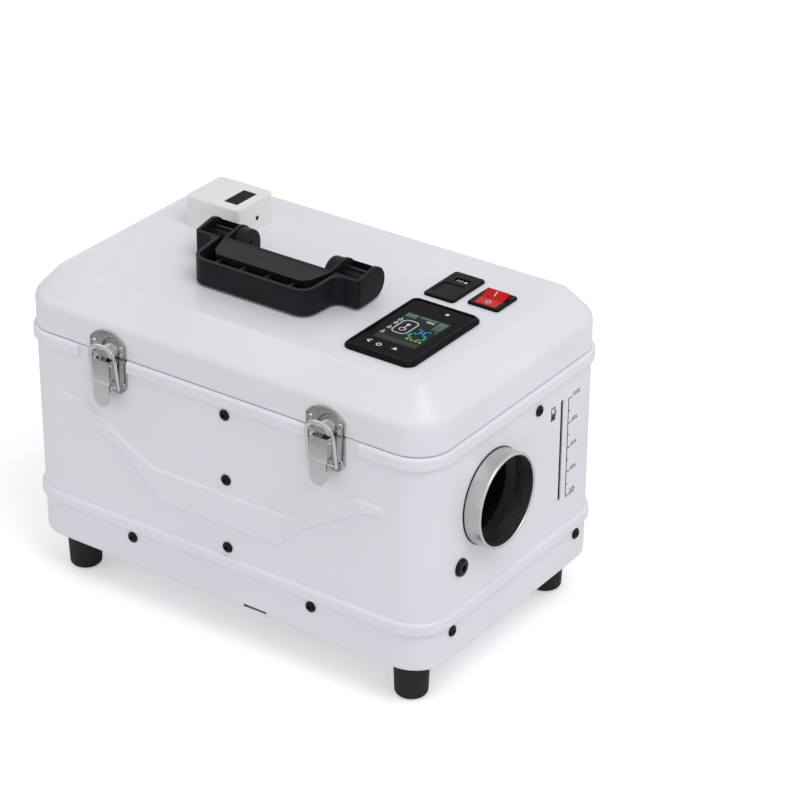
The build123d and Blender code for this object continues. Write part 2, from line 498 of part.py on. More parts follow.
def feet():
    """Tapered rubber feet with a counterbore from below."""
    outline = face_from([(0, 0), (FOOT_LOW_D / 2, 0), (FOOT_TOP_D / 2, FOOT_H), (0, FOOT_H)])
    outline = fillet(outline.vertices().filter_by(lambda v: v.X > 1 and v.Y < 1), FOOT_ROUND)
    foot = revolve(Plane.XZ * outline, Axis.Z)
    foot = foot - Pos(0, 0, FOOT_SINK_H / 2) * Cylinder(FOOT_SINK_D / 2, FOOT_SINK_H)
    foot = foot - Pos(0, 0, FOOT_H / 2) * Cylinder(SCREW_HOLE_D / 2, 2 * FOOT_H)
    return [place * Pos(0, 0, -FOOT_H) * foot for place in foot_places()]


def foot_screws():
    """One long screw up through each foot into the pan."""
    depth = FOOT_H - FOOT_SINK_H
    piece = Rot(180, 0, 0) * screw(shank=depth + SHEET + FOOT_SCREW_PAST)
    return [place * Pos(0, 0, -depth) * piece for place in foot_places()]


def base_pan_screws():
    return [place * screw() for place in pan_screw_places()]


def panel_screws():
    return [place * screw() for place in panel_screw_places()]


def front_stay():
    """Upright channel inside the front wall that the three front screws hold."""
    inner = FRONT_Y + SHEET
    stay = cuboid(STAY_X - STAY_W / 2, STAY_X + STAY_W / 2, inner, inner + STAY_DEEP, STAY_LOW, STAY_HIGH)
    stay = stay - cuboid(STAY_X - STAY_W / 2 + STAY_SHEET, STAY_X + STAY_W / 2 - STAY_SHEET,
                         inner + STAY_SHEET, inner + STAY_DEEP, STAY_LOW, STAY_HIGH)
    return drilled(stay, panel_screw_places(), SCREW_HOLE_D, DRILL)


def side_plug():
    """Large socket head bolt below the outlet."""
    bolt = screw(PLUG_D, PLUG_H, PLUG_SHANK_D, PLUG_SHANK_LEN, PLUG_HEX, PLUG_H * SOCKET_DEPTH)
    return Pos(RIGHT_X, PLUG_Y, PLUG_Z) * FACING_RIGHT * bolt


# ---------------------------------------------------------------- hinges
def knuckle_span(index):
    """Three knuckles share the hinge width; returns the x range of one."""
    third = HINGE_W / 3
    start = -HINGE_W / 2 + index * third
    return start + KNUCKLE_GAP / 2, start + third - KNUCKLE_GAP / 2


def hinge_leaf(up, knuckles):
    """Leaf at the origin hinge: up = 1 for the lid side, -1 for the body side."""
    near = sqrt((KNUCKLE_R + FIT) ** 2 - (HINGE_OFF - LEAF_T) ** 2)
    edge_near, edge_far = SEAM_Z + up * near, SEAM_Z + up * LEAF_H
    z0, z1 = sorted((edge_near, edge_far))
    leaf = cuboid(-HINGE_W / 2, HINGE_W / 2, REAR_Y, REAR_Y + LEAF_T, z0, z1)
    for index in knuckles:
        x0, x1 = knuckle_span(index)
        z0, z1 = sorted((SEAM_Z + up * SEAM_GAP, SEAM_Z + up * near * NECK_UP))
        neck = cuboid(x0, x1, REAR_Y, HINGE_Y, z0, z1)
        z0, z1 = sorted((SEAM_Z + up * near * NECK_TRIM, SEAM_Z + up * LEAF_H))
        neck = neck - cuboid(x0, x1, REAR_Y + LEAF_T, HINGE_Y, z0, z1)
        leaf = leaf + neck + rod_x(KNUCKLE_R, x0, x1, HINGE_Y, SEAM_Z)
    return leaf - rod_x(PIN_R + SNUG, -HINGE_W, HINGE_W, HINGE_Y, SEAM_Z)


def hinge_body_leaves():
    leaf = drilled(Pos(HINGE_X, 0, 0) * hinge_leaf(-1, (0, 2)), body_rivet_places(), RIVET_HOLE_D, DRILL)
    return both_sides(leaf)


def hinge_lid_leaves():
    leaf = drilled(Pos(HINGE_X, 0, 0) * hinge_leaf(1, (1,)), lid_rivet_places(), RIVET_HOLE_D, DRILL)
    return both_sides(leaf)


def hinge_pins():
    pin = rod_x(PIN_R, HINGE_X - HINGE_W / 2, HINGE_X + HINGE_W / 2, HINGE_Y, SEAM_Z)
    return both_sides(pin)


def body_rivets():
    return [place * rivet(RIVET_GRIP) for place in body_rivet_places()]


def lid_rivets():
    return [place * rivet(RIVET_GRIP) for place in lid_rivet_places()]


# ---------------------------------------------------------------- latches
def latch_base():
    """Body plate with two ears and the lever pin, at the right-hand latch."""
    half = LATCH_W / 2
    low = BASE_LOW
    outline = face_from([(-half + BASE_CUT, low), (half - BASE_CUT, low), (half, low + BASE_CUT),
                         (half, BODY_TOP), (-half, BODY_TOP), (-half, low + BASE_CUT)])
    outline = fillet(outline.vertices().filter_by(lambda v: v.Y < low + BASE_CUT + 1), BASE_CUT_R)
    base = front_profile(outline, FRONT_Y, PLATE_T)
    root_y, pin_y = FRONT_Y - PLATE_T / 2, FRONT_Y - PIVOT_OUT
    for side in (-1, 1):
        x0, x1 = sorted((side * EAR_HALF_IN, side * (EAR_HALF_IN + EAR_T)))
        web = [(root_y, PIVOT_Z - EAR_FOOT_LOW), (root_y, PIVOT_Z - EAR_FOOT_HIGH),
               (pin_y + EAR_R * cos(EAR_TURN), PIVOT_Z + EAR_R * sin(EAR_TURN)),
               (pin_y - EAR_R * cos(EAR_TURN), PIVOT_Z - EAR_R * sin(EAR_TURN))]
        base = base + side_profile(web, x0, x1) + rod_x(EAR_R, x0, x1, pin_y, PIVOT_Z)
    return base + rod_x(PIVOT_R, -PIN_HALF, PIN_HALF, pin_y, PIVOT_Z)


def latch_bases():
    base = drilled(Pos(LATCH_X, 0, 0) * latch_base(), body_rivet_places(), RIVET_HOLE_D, DRILL)
    return both_sides(base)


def latch_lever():
    """Channel-shaped lever with a stepped round tab, at x = 0."""
    front = FRONT_Y - LEVER_OUT
    cover = front_profile(Pos(0, (LEVER_TOP_Z + LEVER_STEP_Z) / 2)
                          * Rectangle(2 * LEVER_HALF, LEVER_TOP_Z - LEVER_STEP_Z), front + LEVER_T, LEVER_T)
    round_z = LEVER_LOW_Z + TAB_R
    tongue = Pos(0, (LEVER_STEP_Z + round_z) / 2) * Rectangle(2 * TAB_R, LEVER_STEP_Z - round_z)
    tongue = tongue + Pos(0, round_z) * Circle(TAB_R)
    tab = front_profile(tongue, front + LEVER_T - TAB_STEP, LEVER_T)
    joggle = cuboid(-TAB_R, TAB_R, front - TAB_STEP, front + LEVER_T, LEVER_STEP_Z - LEVER_T, LEVER_STEP_Z)
    lever = cover + tab + joggle
    rear = front + LEVER_DEEP
    low = BAIL_Z - FLANGE_BELOW
    side = [(front + LEVER_T / 2, LEVER_TOP_Z), (rear - FLANGE_TOP_CUT, LEVER_TOP_Z),
            (rear, LEVER_TOP_Z - FLANGE_TOP_DROP), (rear, low + FLANGE_LOW_CUT), (rear - FLANGE_LOW_CUT, low),
            (front + LEVER_T / 2, low)]
    for sign in (-1, 1):
        x0, x1 = sorted((sign * (LEVER_HALF - LEVER_T), sign * LEVER_HALF))
        lever = lever + side_profile(side, x0, x1)
    lever = lever - rod_x(PIVOT_R + SNUG, -PIN_HALF, PIN_HALF, FRONT_Y - PIVOT_OUT, PIVOT_Z)
    return lever - rod_x(BAIL_STUB_R + SNUG, -PIN_HALF, PIN_HALF, FRONT_Y - BAIL_OUT, BAIL_Z)


def latch_bail():
    """Stamped hoop that frames the keeper dome, with stubs turned into the lever."""
    centre = LID_LOW + DOME_RISE + BAIL_TOP_GAP - BAIL_HALF
    outer, inner = BAIL_HALF + BAIL_W, BAIL_HALF
    leg = centre - BAIL_Z
    hoop = Pos(0, centre) * Circle(outer) + Pos(0, centre - leg / 2) * Rectangle(2 * outer, leg)
    hoop = hoop - Pos(0, centre) * Circle(inner)
    hoop = hoop - Pos(0, centre - leg / 2 - BAIL_W) * Rectangle(2 * inner, leg + 2 * BAIL_W)
    for sign in (-1, 1):
        hoop = hoop + Pos(sign * (inner + BAIL_W / 2), BAIL_Z) * Circle(BAIL_W / 2)
    bail = front_profile(hoop, FRONT_Y - BAIL_OUT + BAIL_T / 2, BAIL_T)
    for sign in (-1, 1):
        x0, x1 = sorted((sign * (LEVER_HALF - LEVER_T - STUB_IN), sign * (inner + STUB_ROOT)))
        bail = bail + rod_x(BAIL_STUB_R, x0, x1, FRONT_Y - BAIL_OUT, BAIL_Z)
    pivot = Pos(0, FRONT_Y - BAIL_OUT, BAIL_Z)
    return pivot * Rot(BAIL_LEAN, 0, 0) * pivot.inverse() * bail


def latch_keeper():
    """Arched lid plate with the half-round dome that the bail frames."""
    half, rise = LATCH_W / 2, KEEPER_TOP_Z - KEEPER_SIDE_Z
    radius = (half ** 2 + rise ** 2) / (2 * rise)
    height = KEEPER_SIDE_Z - LID_LOW
    arch = Pos(0, KEEPER_TOP_Z - radius) * Circle(radius)
    arch = arch & Pos(0, KEEPER_SIDE_Z + rise / 2) * Rectangle(LATCH_W, rise)
    outline = arch + Pos(0, LID_LOW + height / 2) * Rectangle(LATCH_W, height)
    plate = front_profile(outline, FRONT_Y, PLATE_T)
    half_disc = Pos(0, LID_LOW + DOME_RISE - DOME_R) * Circle(DOME_R)
    half_disc = half_disc & Pos(0, LID_LOW + DOME_R) * Rectangle(3 * DOME_R, 2 * DOME_R)
    dome = front_profile(half_disc, FRONT_Y, DOME_OUT)
    dome = fillet(dome.edges().group_by(Axis.Y)[0], DOME_ROUND)
    return plate + dome


def latch_keepers():
    keeper = drilled(Pos(LATCH_X, 0, 0) * latch_keeper(), lid_rivet_places(), RIVET_HOLE_D, DRILL)
    return both_sides(keeper)


# ---------------------------------------------------------------- handle
def handle_solid():
    """Grip, flared arms and end blocks before coring."""
    rear = HANDLE_PIVOT_Y + HANDLE_END_R
    half = [(GRIP_HALF, GRIP_FRONT_Y), (ARM_HALF, BLOCK_FRONT_Y), (BLOCK_OUT, BLOCK_FRONT_Y),
            (BLOCK_OUT, rear), (BLOCK_IN, rear), (BLOCK_IN, GRIP_REAR_Y)]
    face = face_from(half + [(-x, y) for x, y in reversed(half)])
    corners = face.vertices().filter_by(lambda v: v.Y < GRIP_FRONT_Y + 1)
    face = fillet(corners, GRIP_CORNER_R)
    waist = face.vertices().filter_by(lambda v: abs(abs(v.X) - ARM_HALF) < 0.1)
    face = fillet(waist, WAIST_R)
    shoulders = face.vertices().filter_by(lambda v: abs(v.X) > BLOCK_OUT - 1 and v.Y < BLOCK_FRONT_Y + 1)
    face = fillet(shoulders, BLOCK_CORNER_R)
    plan = Pos(0, 0, LID_TOP) * extrude(face, BLOCK_TOP + HANDLE_END_R)
    side = Polyline((GRIP_FRONT_Y, HANDLE_LIFT), (HANDLE_PIVOT_Y, HANDLE_PIVOT_H - HANDLE_END_R))
    arc = ThreePointArc(side @ 1, (HANDLE_PIVOT_Y + HANDLE_END_R, HANDLE_PIVOT_H),
                        (HANDLE_PIVOT_Y, HANDLE_PIVOT_H + HANDLE_END_R))
    crown = Polyline(arc @ 1, (BLOCK_FRONT_Y, GRIP_TOP + CROWN_UP), (GRIP_FRONT_Y, GRIP_TOP), side @ 0)
    section = make_face(side + arc + crown)
    plane = Plane(origin=(-2 * BLOCK_OUT, 0, LID_TOP), x_dir=(0, 1, 0), z_dir=(1, 0, 0))
    return plan & extrude(plane * section, 4 * BLOCK_OUT)


def handle():
    """Moulded folding handle, cored from above with ribs left in the grip and the end blocks."""
    body = handle_solid()
    top = LID_TOP + 2 * BLOCK_TOP
    floor = LID_TOP + TROUGH_FLOOR
    wall = MOULD_WALL
    arm_in = BLOCK_IN + wall
    front = GRIP_FRONT_Y + wall
    trough = face_from([(GRIP_HALF - wall, front), (ARM_HALF - wall, BLOCK_FRONT_Y + wall),
                        (arm_in, BLOCK_FRONT_Y + wall), (arm_in - CORE_CUT, TROUGH_REAR_Y + CORE_CUT),
                        (arm_in - 2 * CORE_CUT, TROUGH_REAR_Y), (0, TROUGH_REAR_Y), (0, front)])
    trough = fillet(trough.vertices().filter_by(lambda v: v.Y < front + 1 and v.X > 1), GRIP_CORNER_R - wall)
    core = Pos(0, 0, floor) * extrude(trough, top - floor)
    pocket_y0, pocket_y1 = BLOCK_FRONT_Y + wall, HANDLE_PIVOT_Y + HANDLE_END_R - wall
    core = core + cuboid(arm_in, BLOCK_OUT - wall, pocket_y0, pocket_y1, floor, top)
    drum = rod_x(HANDLE_END_R - wall, 0, 2 * BLOCK_OUT, HANDLE_PIVOT_Y, HANDLE_PIVOT_Z)
    keep = cuboid(0, 2 * BLOCK_OUT, HANDLE_PIVOT_Y, HANDLE_PIVOT_Y + 2 * HANDLE_END_R,
                  LID_TOP, HANDLE_PIVOT_Z)
    core = core - (keep - drum)
    core = core - cuboid(arm_in, BLOCK_OUT, HANDLE_PIVOT_Y - GRIP_RIB_T / 2, HANDLE_PIVOT_Y + GRIP_RIB_T / 2,
                         LID_TOP, HANDLE_PIVOT_Z + PIN_BOSS_R + RIB_DOWN)
    core = core - rod_x(PIN_BOSS_R, arm_in - wall, BLOCK_OUT - wall, HANDLE_PIVOT_Y, HANDLE_PIVOT_Z)
    core = core + mirrored_x(core)
    for index in range(GRIP_RIBS):
        x = (index - (GRIP_RIBS - 1) / 2) * GRIP_RIB_PITCH
        core = core - cuboid(x - GRIP_RIB_T / 2, x + GRIP_RIB_T / 2, GRIP_FRONT_Y, TROUGH_REAR_Y + 1,
                             LID_TOP, LID_TOP + GRIP_TOP - RIB_DOWN)
    palm = RectangleRounded(2 * PALM_CORE_HALF, PALM_CORE_REAR_Y - PALM_CORE_FRONT_Y, PALM_R)
    palm = Pos(0, (PALM_CORE_FRONT_Y + PALM_CORE_REAR_Y) / 2, LID_TOP) * extrude(palm, GRIP_TOP - wall)
    body = body - core - palm
    x0, x1 = BLOCK_IN - 1, BLOCK_IN + HANDLE_PIN_LEN / 2 + FIT
    pin = rod_x(HANDLE_PIN_R + RUNNING, x0, x1, HANDLE_PIVOT_Y, HANDLE_PIVOT_Z)
    return Pos(HANDLE_X, 0, 0) * (body - pin - mirrored_x(pin))


def bracket_screw_places():
    """Two screws under each handle bracket, heads inside the lid."""
    mid = (BRACKET_HALF_IN + BLOCK_IN - FIT) / 2
    for x in (HANDLE_X - mid, HANDLE_X + mid):
        for y in (HANDLE_PIVOT_Y - BRACKET_FOOT_FRONT / 2, HANDLE_PIVOT_Y + BRACKET_FOOT_REAR / 2):
            yield Pos(x, y, LID_INSIDE) * Rot(180, 0, 0)


def handle_brackets():
    """Round-topped posts on the lid that carry the handle pins."""
    x1 = BLOCK_IN - FIT
    post = rod_x(BRACKET_R, BRACKET_HALF_IN, x1, HANDLE_PIVOT_Y, HANDLE_PIVOT_Z)
    foot = [(HANDLE_PIVOT_Y - BRACKET_FOOT_FRONT, LID_TOP), (HANDLE_PIVOT_Y + BRACKET_FOOT_REAR, LID_TOP),
            (HANDLE_PIVOT_Y + BRACKET_R, HANDLE_PIVOT_Z), (HANDLE_PIVOT_Y - BRACKET_R, HANDLE_PIVOT_Z)]
    post = post + side_profile(foot, BRACKET_HALF_IN, x1)
    post = fillet(post.edges().filter_by(GeomType.CIRCLE).group_by(Axis.X)[0], BRACKET_EDGE_R)
    x0 = BLOCK_IN - HANDLE_PIN_LEN / 2
    post = post - rod_x(HANDLE_PIN_R + SNUG, x0, BLOCK_IN + 1, HANDLE_PIVOT_Y, HANDLE_PIVOT_Z)
    pair = [Pos(HANDLE_X, 0, 0) * piece for piece in both_sides(post)]
    return [drilled(piece, bracket_screw_places(), SCREW_D, SCREW_LEN + 0.5) for piece in pair]


def handle_pins():
    half = HANDLE_PIN_LEN / 2
    pin = rod_x(HANDLE_PIN_R, BLOCK_IN - half, BLOCK_IN + half, HANDLE_PIVOT_Y, HANDLE_PIVOT_Z)
    return [Pos(HANDLE_X, 0, 0) * piece for piece in both_sides(pin)]


def handle_screws():
    return [place * screw() for place in bracket_screw_places()]


# ---------------------------------------------------------------- controls on the lid
def controller_housing():
    """Bevelled frame on the lid with the electronics box below it."""
    frame = extrude(RectangleRounded(PANEL_L, PANEL_W, PANEL_R), PANEL_UP)
    frame = chamfer(frame.edges().group_by(Axis.Z)[-1], PANEL_BEVEL)
    seat_l, seat_w = glass_size()
    seat = RectangleRounded(seat_l + 2 * SNUG, seat_w + 2 * SNUG, PANEL_R - PANEL_RIM)
    frame = frame - Pos(0, 0, PANEL_UP - GLASS_T - GLASS_SINK) * extrude(seat, GLASS_T + GLASS_SINK + 1)
    box_l, box_w = PANEL_L - 2 * PANEL_BOX_INSET, PANEL_W - 2 * PANEL_BOX_INSET
    box = Pos(0, 0, -PANEL_BOX_DEEP) * extrude(RectangleRounded(box_l, box_w, 3), PANEL_BOX_DEEP)
    room = RectangleRounded(box_l - 2 * PANEL_BOX_WALL, box_w - 2 * PANEL_BOX_WALL, 1)
    room = Pos(0, 0, -PANEL_BOX_DEEP + PANEL_BOX_WALL) * extrude(room, PANEL_BOX_DEEP + PANEL_UP)
    return Pos(PANEL_X, PANEL_Y, LID_TOP) * (frame + box - room)


def glass_size():
    """The glass lies inside the bevelled rim."""
    return PANEL_L - 2 * PANEL_RIM, PANEL_W - 2 * PANEL_RIM


def controller_glass():
    length, width = glass_size()
    pane = extrude(RectangleRounded(length, width, PANEL_R - PANEL_RIM), GLASS_T)
    return Pos(PANEL_X, PANEL_Y, LID_TOP + PANEL_UP - GLASS_SINK - GLASS_T) * pane


def display_top():
    """Underside of the glass."""
    return LID_TOP + PANEL_UP - GLASS_SINK - GLASS_T - SNUG


def controller_display():
    return Pos(PANEL_X, PANEL_Y + SCREEN_DY, display_top() - SCREEN_T / 2) * Box(SCREEN_L, SCREEN_W, SCREEN_T)


def controller_board():
    """Circuit board that carries the display, with its connector below."""
    length = PANEL_L - 2 * (PANEL_BOX_INSET + PANEL_BOX_WALL + FIT)
    width = PANEL_W - 2 * (PANEL_BOX_INSET + PANEL_BOX_WALL + FIT)
    low = display_top() - SCREEN_T - BOARD_T
    board = Pos(PANEL_X, PANEL_Y, low + BOARD_T / 2) * Box(length, width, BOARD_T)
    return board + Pos(PANEL_X, PANEL_Y, low - SOCKET_H / 2) * Box(SOCKET_L, SOCKET_W, SOCKET_H)


def usb_plate():
    """Flush plate with a thumb dish in front and the port behind."""
    plate = extrude(RectangleRounded(USB_L, USB_W, 3), USB_UP)
    plate = fillet(plate.edges().group_by(Axis.Z)[-1], 1.2)
    dish = extrude(RectangleRounded(USB_DISH_L, USB_DISH_W, 5), 2 * USB_UP)
    plate = plate - Pos(0, USB_DISH_DY, USB_UP - USB_DISH_DEEP) * dish
    plate = plate - Pos(0, USB_PORT_DY, 0) * Box(USB_PORT_L, USB_PORT_W, 4 * USB_UP)
    return Pos(USB_X, USB_Y, LID_TOP) * plate


def usb_socket():
    """Socket block below the plate, open where the port is."""
    body = Pos(0, 0, -USB_BOX_DEEP / 2) * Box(USB_BOX_L, USB_BOX_W, USB_BOX_DEEP)
    body = body - Pos(0, USB_PORT_DY, 0) * Box(USB_PORT_L, USB_PORT_W, 2 * USB_PORT_DEEP)
    return Pos(USB_X, USB_Y, LID_TOP) * body


def switch_box_l():
    return ROCKER_L + 2 * (FIT + SWITCH_WALL)


def switch_box_w():
    return 2 * (rocker_swing() + SWITCH_WALL)


def rocker_swing():
    """Half width of the opening, clear of the crown of the rocker at full tilt."""
    tilt = radians(ROCKER_TILT)
    return ROCKER_HALF * cos(tilt) + (ROCKER_CROWN + ROCKER_DROP / 2) * sin(tilt)


def switch_body():
    """Snap-in rocker housing with bearing holes and three blades."""
    bezel = extrude(RectangleRounded(SWITCH_L, SWITCH_W, 2.5), SWITCH_UP)
    bezel = fillet(bezel.edges().group_by(Axis.Z)[-1], 1.0)
    body = bezel + Pos(0, 0, -SWITCH_DEEP / 2) * Box(switch_box_l(), switch_box_w(), SWITCH_DEEP)
    room = Box(ROCKER_L + 2 * FIT, 2 * rocker_swing(), 2 * (SWITCH_DEEP - SWITCH_WALL))
    half = SWITCH_L / 2 - 1
    body = body - room - rod_x(TRUNNION_R + RUNNING, -half, half, 0, ROCKER_Z - LID_TOP)
    for y in (-BLADE_PITCH, 0, BLADE_PITCH):
        body = body + Pos(0, y, -SWITCH_DEEP - BLADE_H / 2) * Box(BLADE_L, BLADE_T, BLADE_H)
    return Pos(SWITCH_X, SWITCH_Y, LID_TOP) * body


def rocker():
    """Dished paddle, front half pressed, with trunnions at both ends."""
    crown, dip, low = ROCKER_CROWN + ROCKER_DROP / 2, ROCKER_DIP + ROCKER_DROP / 2, -4.0
    section = [(-ROCKER_HALF, crown), (0, dip), (ROCKER_HALF, crown), (ROCKER_HALF - 1, low),
               (3, low - 2.5), (-3, low - 2.5), (1 - ROCKER_HALF, low)]
    paddle = side_profile(section, -ROCKER_L / 2, ROCKER_L / 2)
    paddle = fillet(paddle.edges().filter_by(Axis.X).group_by(Axis.Z)[-1], 1.0)
    reach = ROCKER_L / 2 + TRUNNION_LEN
    paddle = paddle + rod_x(TRUNNION_R, -reach, reach, 0, 0)
    return Pos(SWITCH_X, SWITCH_Y, ROCKER_Z) * Rot(ROCKER_TILT, 0, 0) * paddle


def alarm_housing():
    """White monitor box standing on the lid, with a recess for its window."""
    box = extrude(RectangleRounded(ALARM_L, ALARM_W, ALARM_R), ALARM_H)
    box = fillet(box.edges().group_by(Axis.Z)[-1], ALARM_EDGE_R)
    room = RectangleRounded(ALARM_L - 2 * ALARM_WALL, ALARM_W - 2 * ALARM_WALL, ALARM_R - ALARM_WALL)
    box = box - Pos(0, 0, -1) * extrude(room, ALARM_H - ALARM_ROOF + 1)
    seat = Box(WINDOW_L + 2 * SNUG, WINDOW_W + 2 * SNUG, 2 * WINDOW_T)
    box = box - Pos(WINDOW_DX, WINDOW_DY, ALARM_H) * seat
    wall_x = ALARM_L / 2
    box = box - rod_x(SENSOR_R, wall_x - SENSOR_DEEP, wall_x + 1, SENSOR_DY, ALARM_H * SENSOR_UP)
    return Pos(ALARM_X, ALARM_Y, LID_TOP) * box


def alarm_window():
    pane = Box(WINDOW_L, WINDOW_W, WINDOW_T)
    return Pos(ALARM_X + WINDOW_DX, ALARM_Y + WINDOW_DY, LID_TOP + ALARM_H - WINDOW_T / 2) * pane


# ---------------------------------------------------------------- hot air path
def outlet_collar():
    """Stainless duct collar with a rolled rim and an inner flange."""
    x_in, x_out = RIGHT_X - SHEET - COLLAR_T, RIGHT_X + COLLAR_OUT
    tube = rod_x(COLLAR_R, RIGHT_X + GASKET_OUT, x_out, AIR_Y, AIR_Z)
    tube = tube + rod_x(COLLAR_NECK_R, x_in, RIGHT_X + GASKET_OUT, AIR_Y, AIR_Z)
    flange = rod_x(COLLAR_FLANGE_R, x_in, RIGHT_X - SHEET, AIR_Y, AIR_Z)
    tube = tube + flange - rod_x(COLLAR_R - COLLAR_T, x_in - 1, x_out + 1, AIR_Y, AIR_Z)
    rim = Pos(x_out - COLLAR_ROLL, AIR_Y, AIR_Z) * Rot(0, 90, 0) * Torus(COLLAR_R - COLLAR_ROLL, COLLAR_ROLL)
    return tube - rod_x(2 * COLLAR_R, x_out - COLLAR_ROLL, x_out + 1, AIR_Y, AIR_Z) + rim


def collar_gasket():
    """Thin black ring between the wall and the collar."""
    ring = rod_x(GASKET_R, RIGHT_X, RIGHT_X + GASKET_OUT, AIR_Y, AIR_Z)
    return ring - rod_x(COLLAR_NECK_R + SNUG, RIGHT_X - 1, RIGHT_X + 2 * GASKET_OUT, AIR_Y, AIR_Z)


def inlet_guard():
    """Black grille over the cold air inlet: rings on spokes, spigot through the wall."""
    x0, x1 = LEFT_X - GUARD_OUT, LEFT_X
    rim = rod_x(GUARD_R, x0, x1, AIR_Y, AIR_Z)
    rim = fillet(rim.edges().group_by(Axis.X)[0], GUARD_EDGE_R)
    spigot = rod_x(GUARD_HOLE_R - SNUG, x1, x1 + SHEET + GUARD_GRIP, AIR_Y, AIR_Z)
    bore = GUARD_HOLE_R - GUARD_WALL
    guard = rim + spigot - rod_x(bore, x0 - 1, x1 + 3 * GUARD_GRIP, AIR_Y, AIR_Z)
    pitch = bore / GUARD_RINGS
    for index in range(GUARD_RINGS):
        outer = (index + 0.5) * pitch + GUARD_T / 2
        ring = rod_x(outer, x0, x0 + GUARD_T, AIR_Y, AIR_Z)
        if index:
            ring = ring - rod_x(outer - GUARD_T, x0 - 1, x0 + 2 * GUARD_T, AIR_Y, AIR_Z)
        guard = guard + ring
    spoke = Pos(0, (bore + 1) / 2, 0) * Box(GUARD_T, bore + 1, GUARD_T)
    for index in range(GUARD_SPOKES):
        guard = guard + Pos(x0 + GUARD_T / 2, AIR_Y, AIR_Z) * Rot(360 / GUARD_SPOKES * index, 0, 0) * spoke
    return guard


# ---------------------------------------------------------------- heater core
def air_shell_form(shrink):
    """Outside of the air shell with both spigots; shrink > 0 gives its inside."""
    plane = Plane(origin=(-SHELL_L / 2 + shrink, AIR_Y, AIR_Z), x_dir=(0, 1, 0), z_dir=(1, 0, 0))
    section = RectangleRounded(SHELL_W - 2 * shrink, SHELL_H - 2 * shrink, SHELL_R - shrink)
    form = extrude(plane * section, SHELL_L - 2 * shrink)
    ends = form.edges().group_by(Axis.X)[0] + form.edges().group_by(Axis.X)[-1]
    form = chamfer(ends, SHELL_CHAMFER)
    radius = SPIGOT_R if shrink == 0 else SPIGOT_R - SPIGOT_WALL
    reach = 1 if shrink else 0
    return form + rod_x(radius, SPIGOT_IN_X - reach, SPIGOT_OUT_X + reach, AIR_Y, AIR_Z)


def air_shell():
    shell = air_shell_form(0) - air_shell_form(SHELL_WALL)
    foot = cuboid(BOSS_X - BOSS_L / 2 - FIT, BOSS_X + BOSS_L / 2 + FIT, AIR_Y - BOSS_W / 2 - FIT,
                  AIR_Y + BOSS_W / 2 + FIT, PAD_TOP - 1, PAD_TOP + 2 * SHELL_WALL)
    return shell - foot


def heater_lower_shell():
    return air_shell() - cuboid(-CASE_L, CASE_L, -CASE_W, CASE_W, AIR_Z - SPLIT_GAP / 2, LID_TOP)


def heater_upper_shell():
    return air_shell() - cuboid(-CASE_L, CASE_L, -CASE_W, CASE_W, 0, AIR_Z + SPLIT_GAP / 2)


def heat_exchanger():
    """Cast aluminium pot with radial fins and a foot with the two pipe sockets."""
    pot = rod_x(FIN_TUBE_R, CORE_X0, CORE_X1, AIR_Y, AIR_Z)
    fin = Pos((CORE_X0 + CORE_X1) / 2 + FIN_SHIFT, AIR_Y, AIR_Z)
    blade = Box(CORE_X1 - CORE_X0 - FIN_SHORT, FIN_T, 2 * (FIN_TIP_R - FIN_TUBE_R))
    blade = Pos(0, 0, FIN_TUBE_R) * blade
    for index in range(FIN_COUNT):
        pot = pot + fin * Rot(360 / FIN_COUNT * index, 0, 0) * blade
    foot = cuboid(BOSS_X - BOSS_L / 2, BOSS_X + BOSS_L / 2, AIR_Y - BOSS_W / 2, AIR_Y + BOSS_W / 2,
                  PAD_TOP, AIR_Z - BOSS_UNDER)
    pot = pot + foot
    pot = pot - rod_x(FIN_TUBE_BORE, CORE_X0 - 1, CORE_X1 - CORE_END_T, AIR_Y, AIR_Z)
    pot = pot - rod_z(EXHAUST_R - PIPE_STEP + SNUG, 0, PAD_TOP + PIPE_GRIP, EXHAUST_X, AIR_Y)
    pot = pot - rod_z(EXHAUST_R - 2 * PIPE_WALL, 0, AIR_Z, EXHAUST_X, AIR_Y)
    pot = pot - rod_z(INTAKE_R - PIPE_STEP + SNUG, 0, PAD_TOP + PIPE_GRIP, INTAKE_X, AIR_Y)
    pot = pot - rod_z(HOSE_R + SNUG, 0, PAD_TOP + PIPE_GRIP, FUEL_X, FUEL_Y)
    return pot - rod_z(GLOW_R + SNUG, AIR_Z, AIR_Z + 2 * FIN_TIP_R, GLOW_X, AIR_Y)


def burner():
    """Flame tube on a flange that closes the pot."""
    flange = rod_x(FIN_TUBE_R, CORE_X0 - BURNER_FLANGE_T, CORE_X0, AIR_Y, AIR_Z)
    tube = rod_x(FLAME_R, CORE_X0, CORE_X0 + FLAME_LEN, AIR_Y, AIR_Z)
    tube = tube - rod_x(FLAME_R - FLAME_WALL, CORE_X0, CORE_X0 + FLAME_LEN, AIR_Y, AIR_Z)
    return flange + tube - rod_z(GLOW_R + SNUG, AIR_Z, AIR_Z + FLAME_R + 1, GLOW_X, AIR_Y)


def glow_plug():
    """Ceramic igniter through the top of the pot, hexagon outside."""
    z0 = AIR_Z + FLAME_R - GLOW_IN
    stem = rod_z(GLOW_R, z0, z0 + GLOW_LEN, GLOW_X, AIR_Y)
    nut = extrude(RegularPolygon(GLOW_NUT_R, 6), GLOW_NUT_H)
    return stem + Pos(GLOW_X, AIR_Y, AIR_Z + FIN_TIP_R + 1) * nut


